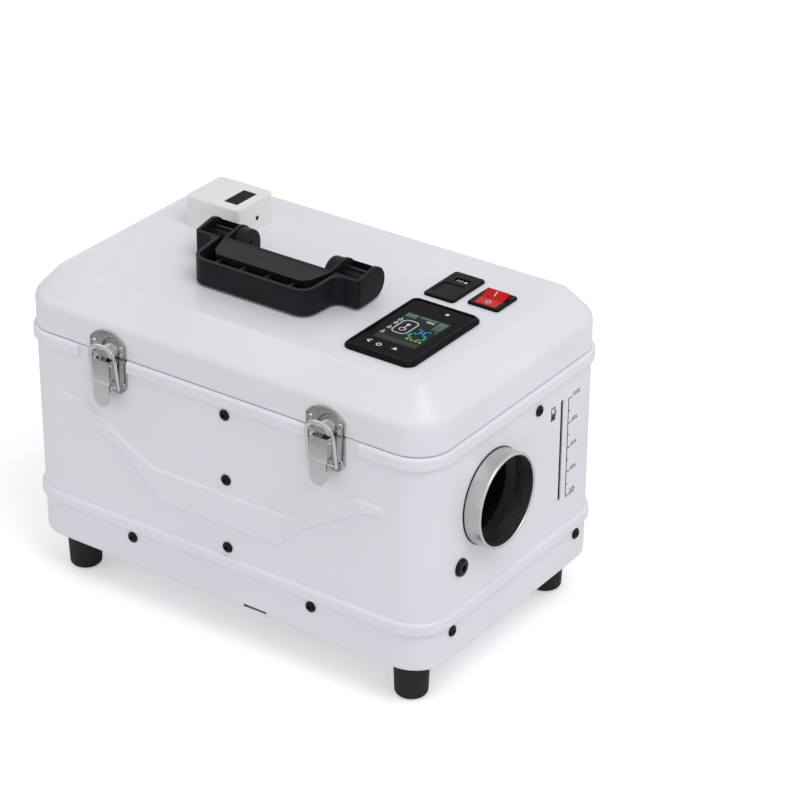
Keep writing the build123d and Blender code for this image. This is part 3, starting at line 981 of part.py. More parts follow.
def blower_motor():
    """Motor with the bell that houses the combustion wheel, and a seat for the control unit."""
    x1 = CORE_X0 - BURNER_FLANGE_T
    bell = rod_x(BELL_R, BELL_X0, x1, AIR_Y, AIR_Z)
    bell = bell - rod_x(BELL_BORE, BELL_X0 + BELL_WALL, x1 - BELL_WALL, AIR_Y, AIR_Z)
    bell = bell - rod_x(BELL_BORE / 3, x1 - 2 * BELL_WALL, x1 + 1, AIR_Y, AIR_Z)
    motor = rod_x(MOTOR_R, MOTOR_X0, BELL_X0, AIR_Y, AIR_Z)
    seat = cuboid(MOTOR_X0 + SEAT_IN, BELL_X0 - SEAT_IN, AIR_Y - SEAT_HALF, AIR_Y + SEAT_HALF,
                  AIR_Z, AIR_Z + UNIT_SEAT)
    return bell + motor + seat - rod_x(SHAFT_R + RUNNING, MOTOR_X0 - 1, x1, AIR_Y, AIR_Z)


def blower_shaft():
    return rod_x(SHAFT_R, SHAFT_X0, WHEEL_X1, AIR_Y, AIR_Z)


def combustion_wheel():
    """Radial wheel that feeds the burner."""
    x0 = WHEEL_X1 - WHEEL_W
    wheel = rod_x(WHEEL_R, x0, x0 + WHEEL_DISC_T, AIR_Y, AIR_Z)
    wheel = wheel + rod_x(WHEEL_HUB_R, x0, WHEEL_X1, AIR_Y, AIR_Z)
    vane = Box(WHEEL_W - WHEEL_DISC_T, VANE_T, WHEEL_R - VANE_IN_R)
    vane = Pos(0, 0, (WHEEL_R + VANE_IN_R) / 2) * vane
    hub = Pos((x0 + WHEEL_DISC_T + WHEEL_X1) / 2, AIR_Y, AIR_Z)
    for index in range(WHEEL_VANES):
        wheel = wheel + hub * Rot(360 / WHEEL_VANES * index, 0, 0) * vane
    return wheel - rod_x(SHAFT_R + SNUG / 2, x0 - 1, WHEEL_X1 + 1, AIR_Y, AIR_Z)


def air_impeller():
    """Axial fan at the inlet: twisted blades lofted from hub to tip."""
    x0 = FAN_X1 - FAN_W
    hub = rod_x(FAN_HUB_R, x0, FAN_X1, AIR_Y, AIR_Z)
    hub = fillet(hub.edges().group_by(Axis.X)[0], FAN_NOSE_R)
    root = Rot(0, 0, FAN_PITCH) * Rectangle(FAN_ROOT_T, FAN_W * FAN_ROOT_CHORD)
    tip = Rot(0, 0, FAN_PITCH + FAN_TWIST) * Rectangle(FAN_TIP_T, FAN_W * FAN_TIP_CHORD)
    root, tip = Plane.XY.offset(FAN_HUB_R - FAN_ROOT_IN) * root, Plane.XY.offset(FAN_R) * tip
    blade = loft([root, tip])
    fan = hub
    for index in range(FAN_BLADES):
        turned = Rot(360 / FAN_BLADES * index, 0, 0) * Rot(0, 0, 90) * blade
        fan = fan + Pos((x0 + FAN_X1) / 2, AIR_Y, AIR_Z) * turned
    return fan - rod_x(SHAFT_R + SNUG / 2, x0 - 1, FAN_X1 + 1, AIR_Y, AIR_Z)


def control_unit():
    """Electronics box on the motor, with a cable socket."""
    mid = (MOTOR_X0 + BELL_X0) / 2
    unit = Pos(mid, AIR_Y, AIR_Z + UNIT_SEAT + UNIT_H / 2) * Box(UNIT_L, UNIT_W, UNIT_H)
    unit = fillet(unit.edges().filter_by(Axis.Z), UNIT_R)
    socket = Box(UNIT_PLUG_L, UNIT_PLUG_W, UNIT_PLUG_H)
    return unit + Pos(mid - (UNIT_L + UNIT_PLUG_L) / 2, AIR_Y, AIR_Z + UNIT_SEAT + UNIT_H / 2) * socket


def heater_shelf():
    """Bent sheet bridge that lifts the heater over its pipes."""
    x1 = SHELF_L / 2
    bridge = cuboid(-x1, x1, SHELF_FRONT_Y, SHELF_REAR_Y, SHEET, SHELF_Z + SHELF_T)
    bridge = bridge - cuboid(-x1 + SHELF_T, x1 - SHELF_T, SHELF_FRONT_Y - 1, SHELF_REAR_Y + 1, SHEET, SHELF_Z)
    for sign in (-1, 1):
        x0, x2 = sorted((sign * x1, sign * (x1 + SHELF_FOOT)))
        bridge = bridge + cuboid(x0, x2, SHELF_FRONT_Y, SHELF_REAR_Y, SHEET, SHEET + SHELF_T)
    return pipe_holes(bridge, SHELF_CLEAR)


def pipe_holes(solid, clear):
    """Openings for the exhaust, the intake and the fuel line."""
    pipes = (EXHAUST_X, AIR_Y, EXHAUST_R), (INTAKE_X, AIR_Y, INTAKE_R), (FUEL_X, FUEL_Y, HOSE_R)
    for x, y, radius in pipes:
        solid = solid - rod_z(radius + clear, SHELF_Z - 1, PAD_TOP + 1, x, y)
    return solid


def heater_gasket():
    pad = cuboid(BOSS_X - PAD_L / 2, BOSS_X + PAD_L / 2, AIR_Y - PAD_W / 2, AIR_Y + PAD_W / 2,
                 SHELF_Z + SHELF_T, PAD_TOP)
    return pipe_holes(pad, PAD_CLEAR)


def pipe_stub(radius, x):
    """Straight pipe from the heater foot down through the pan."""
    pipe = rod_z(radius, -PIPE_DROP, -PIPE_STEP_DOWN, x, AIR_Y)
    pipe = pipe + rod_z(radius - PIPE_STEP, -PIPE_STEP_DOWN, PAD_TOP + PIPE_GRIP, x, AIR_Y)
    return pipe - rod_z(radius - PIPE_WALL, -PIPE_DROP - 1, PAD_TOP + PIPE_GRIP + 1, x, AIR_Y)


def exhaust_stub():
    return pipe_stub(EXHAUST_R, EXHAUST_X)


def intake_stub():
    return pipe_stub(INTAKE_R, INTAKE_X)


# ---------------------------------------------------------------- fuel
def tank_block(shrink):
    """Round-edged tank body; shrink > 0 gives the fuel space."""
    form = cuboid(TANK_X0 + shrink, TANK_RIGHT - shrink, TANK_FRONT_Y + shrink,
                  TANK_REAR_Y - shrink, TANK_LOW + shrink, TANK_TOP - shrink)
    return fillet(form.edges(), TANK_R - shrink)


def gauge_rib(shrink):
    """Upright rib of the tank that reaches the sight slot; shrink > 0 gives its inside."""
    half = GAUGE_RIB_W / 2 - shrink
    return cuboid(TANK_RIGHT - TANK_R, GAUGE_END - shrink, SIGHT_Y - half, SIGHT_Y + half,
                  SIGHT_LOW - SIGHT_MARGIN + shrink, SIGHT_HIGH + SIGHT_MARGIN - shrink)


def fuel_tank():
    """Blow moulded tank on two runners, with its filler neck, gauge rib and outlet seat."""
    tank = tank_block(0) + rod_z(NECK_R, TANK_TOP - NECK_ROOT, TANK_TOP + NECK_H, NECK_X, TANK_MID_Y)
    for x in (RUNNER_LEFT_X, RUNNER_RIGHT_X):
        tank = tank + cuboid(x - RUNNER_L / 2, x + RUNNER_L / 2, TANK_FRONT_Y + TANK_R,
                             TANK_REAR_Y - TANK_R, SHEET, TANK_LOW + 1)
    tank = tank + gauge_rib(0)
    tank = tank - tank_block(TANK_WALL) - gauge_rib(GAUGE_RIB_WALL)
    z0, z1 = TANK_TOP - NECK_ROOT - 1, TANK_TOP + NECK_H + 1
    tank = tank - rod_z(NECK_R - NECK_WALL, z0, z1, NECK_X, TANK_MID_Y)
    return tank - rod_y(OUTLET_NECK_R, TANK_FRONT_Y - 1, TANK_FRONT_Y + 2 * TANK_WALL, PUMP_X, PUMP_Z)


def fuel_cap():
    """Screw cap with grip ribs, seated on the neck."""
    top = TANK_TOP + NECK_H + CAP_WALL
    cap = rod_z(CAP_R, top - CAP_H, top, NECK_X, TANK_MID_Y)
    cap = fillet(cap.edges().group_by(Axis.Z)[-1], CAP_EDGE_R)
    for index in range(CAP_GRIPS):
        place = Pos(NECK_X, TANK_MID_Y, top - CAP_H / 2 - CAP_EDGE_R / 2) * Rot(0, 0, 360 / CAP_GRIPS * index)
        cap = cap + place * Pos(CAP_R, 0, 0) * Cylinder(CAP_GRIP_R, CAP_H - CAP_EDGE_R)
    room = rod_z(NECK_R + FIT, top - CAP_H - 1, top - CAP_WALL + FIT / 3, NECK_X, TANK_MID_Y)
    return cap - room


def tank_outlet():
    """Brass fitting in the tank's front face, with its hose nipple."""
    y = TANK_FRONT_Y
    fitting = rod_y(OUTLET_FLANGE_R, y - OUTLET_FLANGE_T, y, PUMP_X, PUMP_Z)
    fitting = fitting + rod_y(OUTLET_NECK_R - SNUG, y, y + TANK_WALL, PUMP_X, PUMP_Z)
    return fitting + rod_y(NIPPLE_R, y - OUTLET_FLANGE_T - NIPPLE_LEN, y, PUMP_X, PUMP_Z)


def sight_window():
    """Clear strip behind the slot, in front of the translucent tank."""
    x1 = RIGHT_X - SHEET
    half = SIGHT_W / 2 + SIGHT_MARGIN
    return cuboid(x1 - SIGHT_T, x1, SIGHT_Y - half, SIGHT_Y + half,
                  SIGHT_LOW - SIGHT_MARGIN, SIGHT_HIGH + SIGHT_MARGIN)


def tank_bracket():
    """Angle on the outlet wall that holds the tank down."""
    x1 = RIGHT_X - SHEET
    y0, y1 = SIDE_SCREW_Y - TIE_W / 2, SIDE_SCREW_Y + TIE_W / 2
    angle = cuboid(x1 - TIE_T, x1, y0, y1, TANK_TOP + SNUG - TIE_H, TANK_TOP + SNUG + TIE_T + TIE_UP)
    arm = cuboid(x1 - TIE_REACH, x1, y0, TANK_FRONT_Y + TIE_REACH, TANK_TOP + SNUG, TANK_TOP + SNUG + TIE_T)
    return drilled(angle + arm, panel_screw_places(), SCREW_HOLE_D, 8)


def fuel_pump():
    """Dosing pump lying along Y, with a nipple at each end."""
    y0, y1 = PUMP_REAR_Y - PUMP_L, PUMP_REAR_Y
    pump = rod_y(PUMP_R, y0, y1, PUMP_X, PUMP_Z)
    pump = fillet(pump.edges(), PUMP_EDGE_R)
    return pump + rod_y(NIPPLE_R, y0 - NIPPLE_LEN, y1 + NIPPLE_LEN, PUMP_X, PUMP_Z)


def pump_clamp():
    """Rubber saddle that holds the pump on the pan floor."""
    mid = PUMP_REAR_Y - PUMP_L / 2
    y0, y1 = mid - CLAMP_L / 2, mid + CLAMP_L / 2
    ring = rod_y(PUMP_R + CLAMP_WALL, y0, y1, PUMP_X, PUMP_Z)
    web = cuboid(PUMP_X - CLAMP_WEB / 2, PUMP_X + CLAMP_WEB / 2, y0, y1, SHEET, PUMP_Z)
    foot = cuboid(PUMP_X - CLAMP_FOOT / 2, PUMP_X + CLAMP_FOOT / 2, y0, y1,
                  SHEET, SHEET + CLAMP_FOOT_H)
    return ring + web + foot - rod_y(PUMP_R + SNUG, y0 - 1, y1 + 1, PUMP_X, PUMP_Z)


def hose(path):
    """Fuel hose along a path, bored for its nipples."""
    start = Plane(origin=path @ 0, z_dir=path % 0)
    outer = sweep(start * Circle(HOSE_R), path)
    return outer - sweep(start * Circle(HOSE_BORE), path)


def fuel_lines():
    """Short hose from the tank to the pump, long one from the pump to the heater."""
    short = Line((PUMP_X, TANK_FRONT_Y - OUTLET_FLANGE_T - SNUG, PUMP_Z),
                 (PUMP_X, PUMP_REAR_Y + SNUG, PUMP_Z))
    start = (PUMP_X, PUMP_REAR_Y - PUMP_L - SNUG, PUMP_Z)
    route = FilletPolyline(start, (PUMP_X, HOSE_FRONT_Y, PUMP_Z), (FUEL_X, HOSE_FRONT_Y, PUMP_Z),
                           (FUEL_X, FUEL_Y, PUMP_Z), (FUEL_X, FUEL_Y, PAD_TOP + PIPE_GRIP - FIT),
                           radius=HOSE_BEND)
    return [hose(short), hose(route)]


# ---------------------------------------------------------------- power lead inlet
def power_gland():
    """Cable gland on the inlet side; the lead itself is not part of the model."""
    hexagon = extrude(RegularPolygon(GLAND_HEX / 2, 6, major_radius=False), GLAND_NUT_H)
    nut = Pos(LEFT_X, GLAND_Y, GLAND_Z) * FACING_LEFT * hexagon
    inner = Pos(LEFT_X + SHEET, GLAND_Y, GLAND_Z) * FACING_RIGHT * hexagon
    dome = rod_x(GLAND_R, LEFT_X - GLAND_OUT, LEFT_X, GLAND_Y, GLAND_Z)
    dome = fillet(dome.edges().group_by(Axis.X)[0], GLAND_EDGE_R)
    thread = rod_x(GLAND_R, LEFT_X, LEFT_X + GLAND_IN, GLAND_Y, GLAND_Z)
    bore = rod_x(GLAND_BORE, LEFT_X - 2 * GLAND_OUT, LEFT_X + 2 * GLAND_IN, GLAND_Y, GLAND_Z)
    return nut + dome + thread + inner - bore


def left_and_right(builder):
    """The same latch piece at both latches."""
    piece = builder()
    return Pos(-LATCH_X, 0, 0) * piece, Pos(LATCH_X, 0, 0) * piece


# ---------------------------------------------------------------- all pieces
def all_pieces():
    lever_left, lever_right = left_and_right(latch_lever)
    bail_left, bail_right = left_and_right(latch_bail)
    makers = (base_pan, case_body, base_pan_screws, feet, foot_screws, panel_screws, front_stay,
              side_plug, tank_bracket, lid_shell, hinge_body_leaves, hinge_lid_leaves, hinge_pins,
              body_rivets, lid_rivets, latch_bases, latch_keepers, handle, handle_brackets, handle_pins,
              handle_screws, controller_housing, controller_glass, controller_display, controller_board,
              usb_plate, usb_socket, switch_body, rocker, alarm_housing, alarm_window, outlet_collar,
              collar_gasket, inlet_guard, heater_lower_shell, heater_upper_shell, heat_exchanger,
              burner, glow_plug, blower_motor, blower_shaft, air_impeller, combustion_wheel,
              control_unit, heater_shelf, heater_gasket, exhaust_stub, intake_stub, fuel_tank, fuel_cap,
              tank_outlet, sight_window, fuel_pump, pump_clamp, fuel_lines, power_gland)
    pieces = {maker.__name__: maker() for maker in makers}
    pieces.update(latch_lever_left=lever_left, latch_lever_right=lever_right,
                  latch_bail_left=bail_left, latch_bail_right=bail_right)
    return pieces


def write_parts():
    """Stand the heater on the ground, centred, and write one file per piece."""
    os.makedirs("parts", exist_ok=True)
    stand = Pos(-(BOX_LEFT + BOX_RIGHT) / 2, -(BOX_FRONT + BOX_REAR) / 2, FOOT_H)
    for name, piece in all_pieces().items():
        solids = piece if isinstance(piece, list) else [piece]
        moved = [stand * solid for solid in solids]
        shape = moved[0] if len(moved) == 1 else Compound(children=moved)
        export_step(shape, f"parts/{name}.step")


write_parts()
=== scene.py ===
"""Diesel air heater in a hinged toolbox case: finishes, prints, screws, stage and camera.

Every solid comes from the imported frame; this file gives it its surface, adds what is printed
or lit on it, and sets it on a pale floor.
"""

import math

import bmesh
import bpy
from bpy.props import FloatProperty, FloatVectorProperty, IntProperty, PointerProperty
from bpy.types import Operator, Panel, PropertyGroup
from mathutils import Matrix, Vector
from mathutils.bvhtree import BVHTree


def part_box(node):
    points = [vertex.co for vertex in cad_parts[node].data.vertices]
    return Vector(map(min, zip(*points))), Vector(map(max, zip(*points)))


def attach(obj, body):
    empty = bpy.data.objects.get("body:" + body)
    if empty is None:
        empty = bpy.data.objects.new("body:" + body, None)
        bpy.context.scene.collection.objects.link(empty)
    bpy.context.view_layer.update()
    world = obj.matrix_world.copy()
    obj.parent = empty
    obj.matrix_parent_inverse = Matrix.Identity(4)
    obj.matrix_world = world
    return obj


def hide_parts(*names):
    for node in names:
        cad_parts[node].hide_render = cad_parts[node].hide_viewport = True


bl_info = {
    "name": "Diesel air heater",
    "version": (1, 0, 0),
    "blender": (4, 5, 0),
    "location": "3D View > Sidebar > Heater",
    "description": "Finishes, prints, screws and stage of a diesel air heater in a toolbox case",
    "category": "Object",
}

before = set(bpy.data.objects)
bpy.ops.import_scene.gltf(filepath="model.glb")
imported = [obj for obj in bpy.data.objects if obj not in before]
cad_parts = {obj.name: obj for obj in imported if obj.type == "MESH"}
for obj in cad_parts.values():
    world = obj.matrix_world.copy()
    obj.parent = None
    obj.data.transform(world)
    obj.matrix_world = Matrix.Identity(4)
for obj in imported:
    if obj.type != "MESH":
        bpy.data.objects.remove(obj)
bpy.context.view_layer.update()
MM = 0.001
DONE = {"FINISHED"}
X, Y, Z = Vector((1, 0, 0)), Vector((0, 1, 0)), Vector((0, 0, 1))
SIDES = ("left", "right")
WELD = 0.002 * MM                       # corners of a print this close are one
BITE = 0.03 * MM                        # a print reaches this far into its carrier
PROBE = 20 * MM                         # a print looks for its carrier from this far out
QUARTER = math.pi / 2
CORNERS = ((1, 1), (-1, 1), (-1, -1), (1, -1))

# Camera as fitted: the picture is 800 wide with its vertical axis at 360.7, and these lengths
# shift the camera sideways and up from the middle of the case.
PICTURE, AXIS_AT = 800, 360.7
CASE_MIDDLE = Vector((-2.75, 2.4, 38.0)) * MM
SHIFT_RIGHT, SHIFT_UP = 39.2 * MM, 112.2 * MM


# ---------------------------------------------------------------- colours and nodes
def linear(hex_code):
    """An sRGB hex colour as the linear RGBA that Blender's sockets hold."""
    channels = [int(hex_code[i:i + 2], 16) / 255 for i in (1, 3, 5)]
    curve = [c / 12.92 if c <= 0.04045 else ((c + 0.055) / 1.055) ** 2.4 for c in channels]
    return (*curve, 1.0)


def shades(colour, *stops):
    """Colour stops, each a place with a factor on the colour or with another hex colour."""
    return [(place, linear(to) if isinstance(to, str) else (*[min(1.0, c * to) for c in colour[:3]], 1.0))
            for place, to in stops]


def add(tree, kind, inputs=None, **settings):
    """Add one node; each input takes a value or the output socket that feeds it."""
    made = tree.nodes.new(kind)
    for name, value in settings.items():
        setattr(made, name, value)
    for key, value in (inputs or {}).items():
        if isinstance(value, bpy.types.NodeSocket):
            tree.links.new(value, made.inputs[key])
        else:
            made.inputs[key].default_value = value
    return made


def calculate(tree, operation, *values):
    """One step of arithmetic on values or outputs."""
    return add(tree, "ShaderNodeMath", dict(enumerate(values)), operation=operation).outputs[0]


def multiplied(tree, share, one, two):
    """One colour darkened by another."""
    return add(tree, "ShaderNodeMix", {0: share, 6: one, 7: two}, data_type="RGBA",
               blend_type="MULTIPLY").outputs[2]


def ramp(tree, value, *stops):
    """Colour ramp; each stop is a place and a colour or a grey."""
    made = add(tree, "ShaderNodeValToRGB", {"Fac": value})
    elements = made.color_ramp.elements
    while len(elements) < len(stops):
        elements.new(0.5)
    for element, (place, colour) in zip(elements, stops):
        element.position = place
        element.color = (colour, colour, colour, 1.0) if isinstance(colour, float) else colour
    return made.outputs["Color"]


class Finish:
    """Material with one Principled shader, driven by noise in object coordinates."""

    def __init__(self, name, colour=None, bump=None, tint=None, gloss=None, **shader):
        self.material = bpy.data.materials.new(name)
        self.material.use_nodes = True
        self.tree = self.material.node_tree
        self.tree.nodes.clear()
        self.surface = add(self.tree, "ShaderNodeBsdfPrincipled",
                           {key.replace("_", " "): value for key, value in shader.items()})
        add(self.tree, "ShaderNodeOutputMaterial", {"Surface": self.surface.outputs["BSDF"]})
        self.where = add(self.tree, "ShaderNodeTexCoord").outputs["Object"]
        self.noises = {}
        if bump:
            self.bump(self.grain(*bump[0]), *bump[1:])
        if tint:
            self.feed("Base Color", ramp(self.tree, self.grain(*tint[0]), *shades(colour, *tint[1:])))
        if gloss:
            self.gloss(self.grain(*gloss[0]), *gloss[1:])

    def feed(self, socket, output):
        """Drive one input of the shader."""
        self.tree.links.new(output, self.surface.inputs[socket])

    def grain(self, size, detail=2.0, stretch=(1, 1, 1)):
        """Noise with features of about size millimetres, wider along a stretched axis; made once."""
        key = (size, detail, stretch)
        if key not in self.noises:
            spread = add(self.tree, "ShaderNodeMapping", {
                "Vector": self.where, "Scale": [1 / s for s in stretch]})
            noise = add(self.tree, "ShaderNodeTexNoise", {
                "Vector": spread.outputs["Vector"], "Scale": 1 / (size * MM), "Detail": detail})
            self.noises[key] = noise.outputs["Fac"]
        return self.noises[key]

    def bump(self, height, depth, strength=1.0):
        """Relief of a given depth in millimetres."""
        made = add(self.tree, "ShaderNodeBump", {
            "Height": height, "Distance": depth * MM, "Strength": strength})
        self.feed("Normal", made.outputs["Normal"])

    def gloss(self, noise, low, high):
        """Let noise, stretched to its full range, run the roughness from low to high."""
        spread = add(self.tree, "ShaderNodeMapRange", {
            "Value": noise, "From Min": 0.3, "From Max": 0.7, "To Min": low, "To Max": high})
        self.feed("Roughness", spread.outputs["Result"])


# ---------------------------------------------------------------- finishes
# What each finish is, and what its noise gives the eye. Noise is a size in millimetres, a detail and
# perhaps a stretch. Bump is noise, depth in millimetres and strength; tint is noise and colour stops;
# gloss is noise with the lowest and highest roughness. The rest goes to the shader as it is.
FINISHES = {
    # Steel sheet, sprayed with polyester powder and baked. The film lies in waves 2 to 3 mm across,
    # which break its soft gloss up slightly, and drifts by a shade of white over a hand's width.
    "powder_coated_steel": dict(
        bump=((2.6, 1.5), 0.04, 0.6), tint=((90, 2.0), (0.35, 0.965), (0.65, 1.0)),
        gloss=((90, 2.0), 0.34, 0.42)),
    # ABS, injection moulded in an eroded tool. Spark grain of 0.3 mm is drawn at 0.8 mm so that the
    # matt break shows.
    "moulded_white_abs": dict(
        bump=((0.8, 2.0), 0.02, 0.7), tint=((30, 1.0), (0.3, 0.97), (0.7, 1.0)),
        gloss=((0.8, 2.0), 0.42, 0.52), Subsurface_Weight=0.05,
        Subsurface_Radius=(1.2 * MM, 1.1 * MM, 1.0 * MM)),
    # Glass-filled nylon, moulded thick and satin. Fibres near the skin leave a soft mottle 1 to 2 mm
    # long, and patches where they dull the gloss.
    "glass_filled_nylon": dict(
        bump=((1.6, 3.0, (2, 1, 1)), 0.05, 0.5), tint=((14, 3.0), (0.35, 0.8), (0.7, 1.25)),
        gloss=((14, 3.0), 0.38, 0.5), IOR=1.5, Specular_IOR_Level=0.14),
    # Black ABS with a spark-eroded grain of 0.2 mm, drawn at 0.6 mm to keep its sparkle off single pixels.
    "moulded_black_abs": dict(
        bump=((0.6, 2.0), 0.02, 0.6), tint=((0.6, 2.0), (0.3, 0.85), (0.7, 1.15)),
        gloss=((12, 2.0), 0.34, 0.46), IOR=1.5, Specular_IOR_Level=0.06),
    # Toughened cover glass, printed black behind and polished in front. An anti-glare layer holds the
    # reflection of the room down; finger film a few centimetres wide lifts the black and dulls the polish.
    "printed_cover_glass": dict(
        tint=((26, 4.0), (0.4, 1.0), (0.75, 1.5)), gloss=((26, 4.0), 0.06, 0.14), IOR=1.45,
        Specular_IOR_Level=0.03),
    # Unlit display behind its glass, whose layers show through as a faint change of black.
    "pressed_glass_dark": dict(
        tint=((8, 1.0), (0.3, 1.0), (0.7, 1.4)), IOR=1.45, Roughness=0.15, Specular_IOR_Level=0.04),
    # Polycarbonate, dyed through and polished. The flow of the melt leaves darker streaks under the polish.
    "polished_red_plastic": dict(
        tint=((7, 2.0), (0.3, 0.85), (0.7, 1.1)), gloss=((7, 2.0), 0.16, 0.26), IOR=1.5,
        Specular_IOR_Level=0.16, Subsurface_Weight=0.1, Subsurface_Radius=(2.5 * MM, 0.4 * MM, 0.3 * MM)),
    # Black rubber, compression moulded. Talc and bloom leave greyish clouds about a centimetre wide on
    # a skin with 0.5 mm pores.
    "moulded_rubber": dict(
        bump=((0.7, 3.0), 0.04, 0.8), tint=((11, 3.0), (0.35, 1.0), (0.75, 1.8)),
        gloss=((11, 3.0), 0.62, 0.8), IOR=1.52, Specular_IOR_Level=0.3),
    # Stainless of burner and exhaust: straw and blue heat tints in bands 2 to 3 cm wide, under fine scale.
    "heat_tinted_stainless": dict(
        tint=((24, 2.0), (0.3, 1.0), (0.55, "#B59A6C"), (0.75, "#7C7F93")), gloss=((1.5, 3.0), 0.28, 0.42),
        Metallic=1.0),
    # Steel with clear-passivated zinc. Passivation leaves pale and bluish clouds about 5 mm wide.
    "zinc_plated_steel": dict(
        tint=((5, 3.0), (0.3, 0.8), (0.55, 1.0), (0.8, "#C4CBD6")), gloss=((5, 3.0), 0.3, 0.44),
        Metallic=1.0),
    # Alloy steel, blackened in a hot bath and oiled. The oil gathers in patches of 2 mm, which gleam
    # where the bare oxide stays dull.
    "black_oxide_steel": dict(
        tint=((2, 3.0), (0.3, 0.8), (0.7, 1.3)), gloss=((2, 3.0), 0.3, 0.5), Metallic=0.85),
    # Die-cast aluminium, as it left the die: rough at 1.5 mm, darker in clouds of burnt release agent.
    "cast_aluminium": dict(
        bump=((1.5, 4.0), 0.08, 0.8), tint=((18, 3.0), (0.3, 0.78), (0.7, 1.0)),
        gloss=((1.5, 4.0), 0.45, 0.6), Metallic=1.0),
    # Blow-moulded polyethylene, cloudy and a little see-through, with shallow dimples a centimetre wide.
    "natural_polyethylene": dict(
        bump=((10, 1.5), 0.3, 0.6), tint=((10, 1.5), (0.3, 0.94), (0.7, 1.0)), gloss=((10, 1.5), 0.38, 0.5),
        IOR=1.51, Subsurface_Weight=0.4, Subsurface_Radius=(9 * MM, 8 * MM, 6 * MM)),
    # Smoke-tinted sight strip, clouded in patches by a film of fuel vapour behind it.
    "smoked_polycarbonate": dict(
        tint=((9, 2.0), (0.3, 1.0), (0.7, 1.3)), gloss=((9, 2.0), 0.06, 0.14), IOR=1.5,
        Specular_IOR_Level=0.1),
    # Brass, turned from bar. The tool leaves rings that catch the light one after the other.
    "turned_brass": dict(
        tint=((1.0, 2.0, (8, 1, 8)), (0.3, 0.85), (0.7, 1.0)), gloss=((1.0, 2.0, (8, 1, 8)), 0.22, 0.34),
        Metallic=1.0),
}


def solder_masked_board():
    """Glass-epoxy board under green solder mask."""
    board = Finish("solder_masked_board", Roughness=0.3)
    # Copper tracks 0.5 mm wide stand out as lighter lines under the mask.
    tracks = add(board.tree, "ShaderNodeTexBrick", {
        "Vector": board.where, "Scale": 1 / (6 * MM), "Mortar Size": 0.05, "Color1": linear("#0F4A2A"),
        "Color2": linear("#12552F"), "Mortar": linear("#2F7A4A")}).outputs
    board.feed("Base Color", tracks["Color"])
    board.bump(tracks["Fac"], 0.03)
    return board.material


def nickel_plated_steel(colour):
    """Pressed steel, barrel plated with bright nickel."""
    # Stamping leaves faint waves 4 mm across under the plate, and handling a haze of finer marks.
    haze = (1.2, 4.0, (1, 1, 3))
    metal = Finish("nickel_plated_steel", bump=((4, 1.0), 0.03, 0.6), gloss=(haze, 0.12, 0.22), Metallic=1.0)
    plating = ramp(metal.tree, metal.grain(*haze), *shades(colour, (0.3, 0.88), (0.7, 1.0)))
    # Painted shade: an ambient occlusion node darkens the plating in the gaps between the pressed pieces and
    # outlines each of them.
    gap = add(metal.tree, "ShaderNodeAmbientOcclusion", {"Distance": 1.5 * MM}, samples=8)
    painted_gap_shade = ramp(metal.tree, gap.outputs["AO"], (0.26, 0.05), (0.48, 0.5), (0.66, 1.0))
    # The plating colour is multiplied by this painted shade of the gaps.
    metal.feed("Base Color", multiplied(metal.tree, 1.0, plating, painted_gap_shade))
    return metal.material


def round_the_axis(tree, where, centre):
    """Coordinates that follow a tube along X: place along it, radius and a short way round."""
    moved = add(tree, "ShaderNodeVectorMath", {0: where, 1: centre}, operation="SUBTRACT")
    along, y, z = add(tree, "ShaderNodeSeparateXYZ", {"Vector": moved.outputs["Vector"]}).outputs
    squares = calculate(tree, "ADD", calculate(tree, "POWER", y, 2.0), calculate(tree, "POWER", z, 2.0))
    short = calculate(tree, "MULTIPLY", calculate(tree, "ARCTAN2", y, z), 1.5 * MM)
    return add(tree, "ShaderNodeCombineXYZ", {"X": along, "Y": calculate(tree, "SQRT", squares),
                                              "Z": short}).outputs["Vector"]


def brushed_stainless(colour):
    """Stainless tube, turned against an abrasive belt, so that its scratches run round it."""
    low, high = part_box("outlet_collar")
    metal = Finish("brushed_stainless", Metallic=1.0)
    metal.where = round_the_axis(metal.tree, metal.where, (low + high) / 2)
    # Belt scratches of 0.1 mm are drawn 0.5 mm wide; they spread the highlight along the tube.
    lines = metal.grain(0.5, 3.0)
    metal.bump(lines, 0.01, 0.3)
    metal.feed("Base Color", ramp(metal.tree, lines, *shades(colour, (0.3, 0.93), (0.7, 1.0))))
    metal.gloss(lines, 0.26, 0.34)
    return metal.material


def screen_ink(name, colour):
    """Screen-printed ink: the mesh leaves 0.4 mm dots of thicker and thinner film."""
    return Finish(name, colour, tint=((0.4, 1.0), (0.3, 0.85), (0.7, 1.1)), gloss=((0.4, 1.0), 0.4, 0.55),
                  IOR=1.5).material


def lit_segments(name, hex_codes, glow, y_front, y_rear):
    """Back-lit display ink whose three colours run from the front of the screen to the rear."""
    ink = Finish(name, Roughness=0.25, Specular_IOR_Level=0.05, Emission_Strength=glow)
    along = add(ink.tree, "ShaderNodeSeparateXYZ", {"Vector": ink.where}).outputs["Y"]
    share = add(ink.tree, "ShaderNodeMapRange", {"Value": along, "From Min": y_front, "From Max": y_rear})
    colour = ramp(ink.tree, share.outputs["Result"], *zip((0.0, 0.5, 1.0), map(linear, hex_codes)))
    # Pixels of 0.3 mm are drawn as a faint weave.
    weave = ramp(ink.tree, ink.grain(0.5, 0.0), (0.3, 0.02), (0.7, 0.9))
    mixed = multiplied(ink.tree, 0.25, colour, weave)
    ink.feed("Base Color", mixed)
    ink.feed("Emission Color", mixed)
    return ink.material


def dress(finish, colour, *names):
    """Give CAD nodes a finish of the table in this colour, or one that is ready made."""
    if finish in FINISHES:
        colour = linear(colour) if isinstance(colour, str) else colour
        finish = Finish(finish, colour, **FINISHES[finish]).material
    for name in names:
        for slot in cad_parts[name].material_slots:
            slot.material = finish


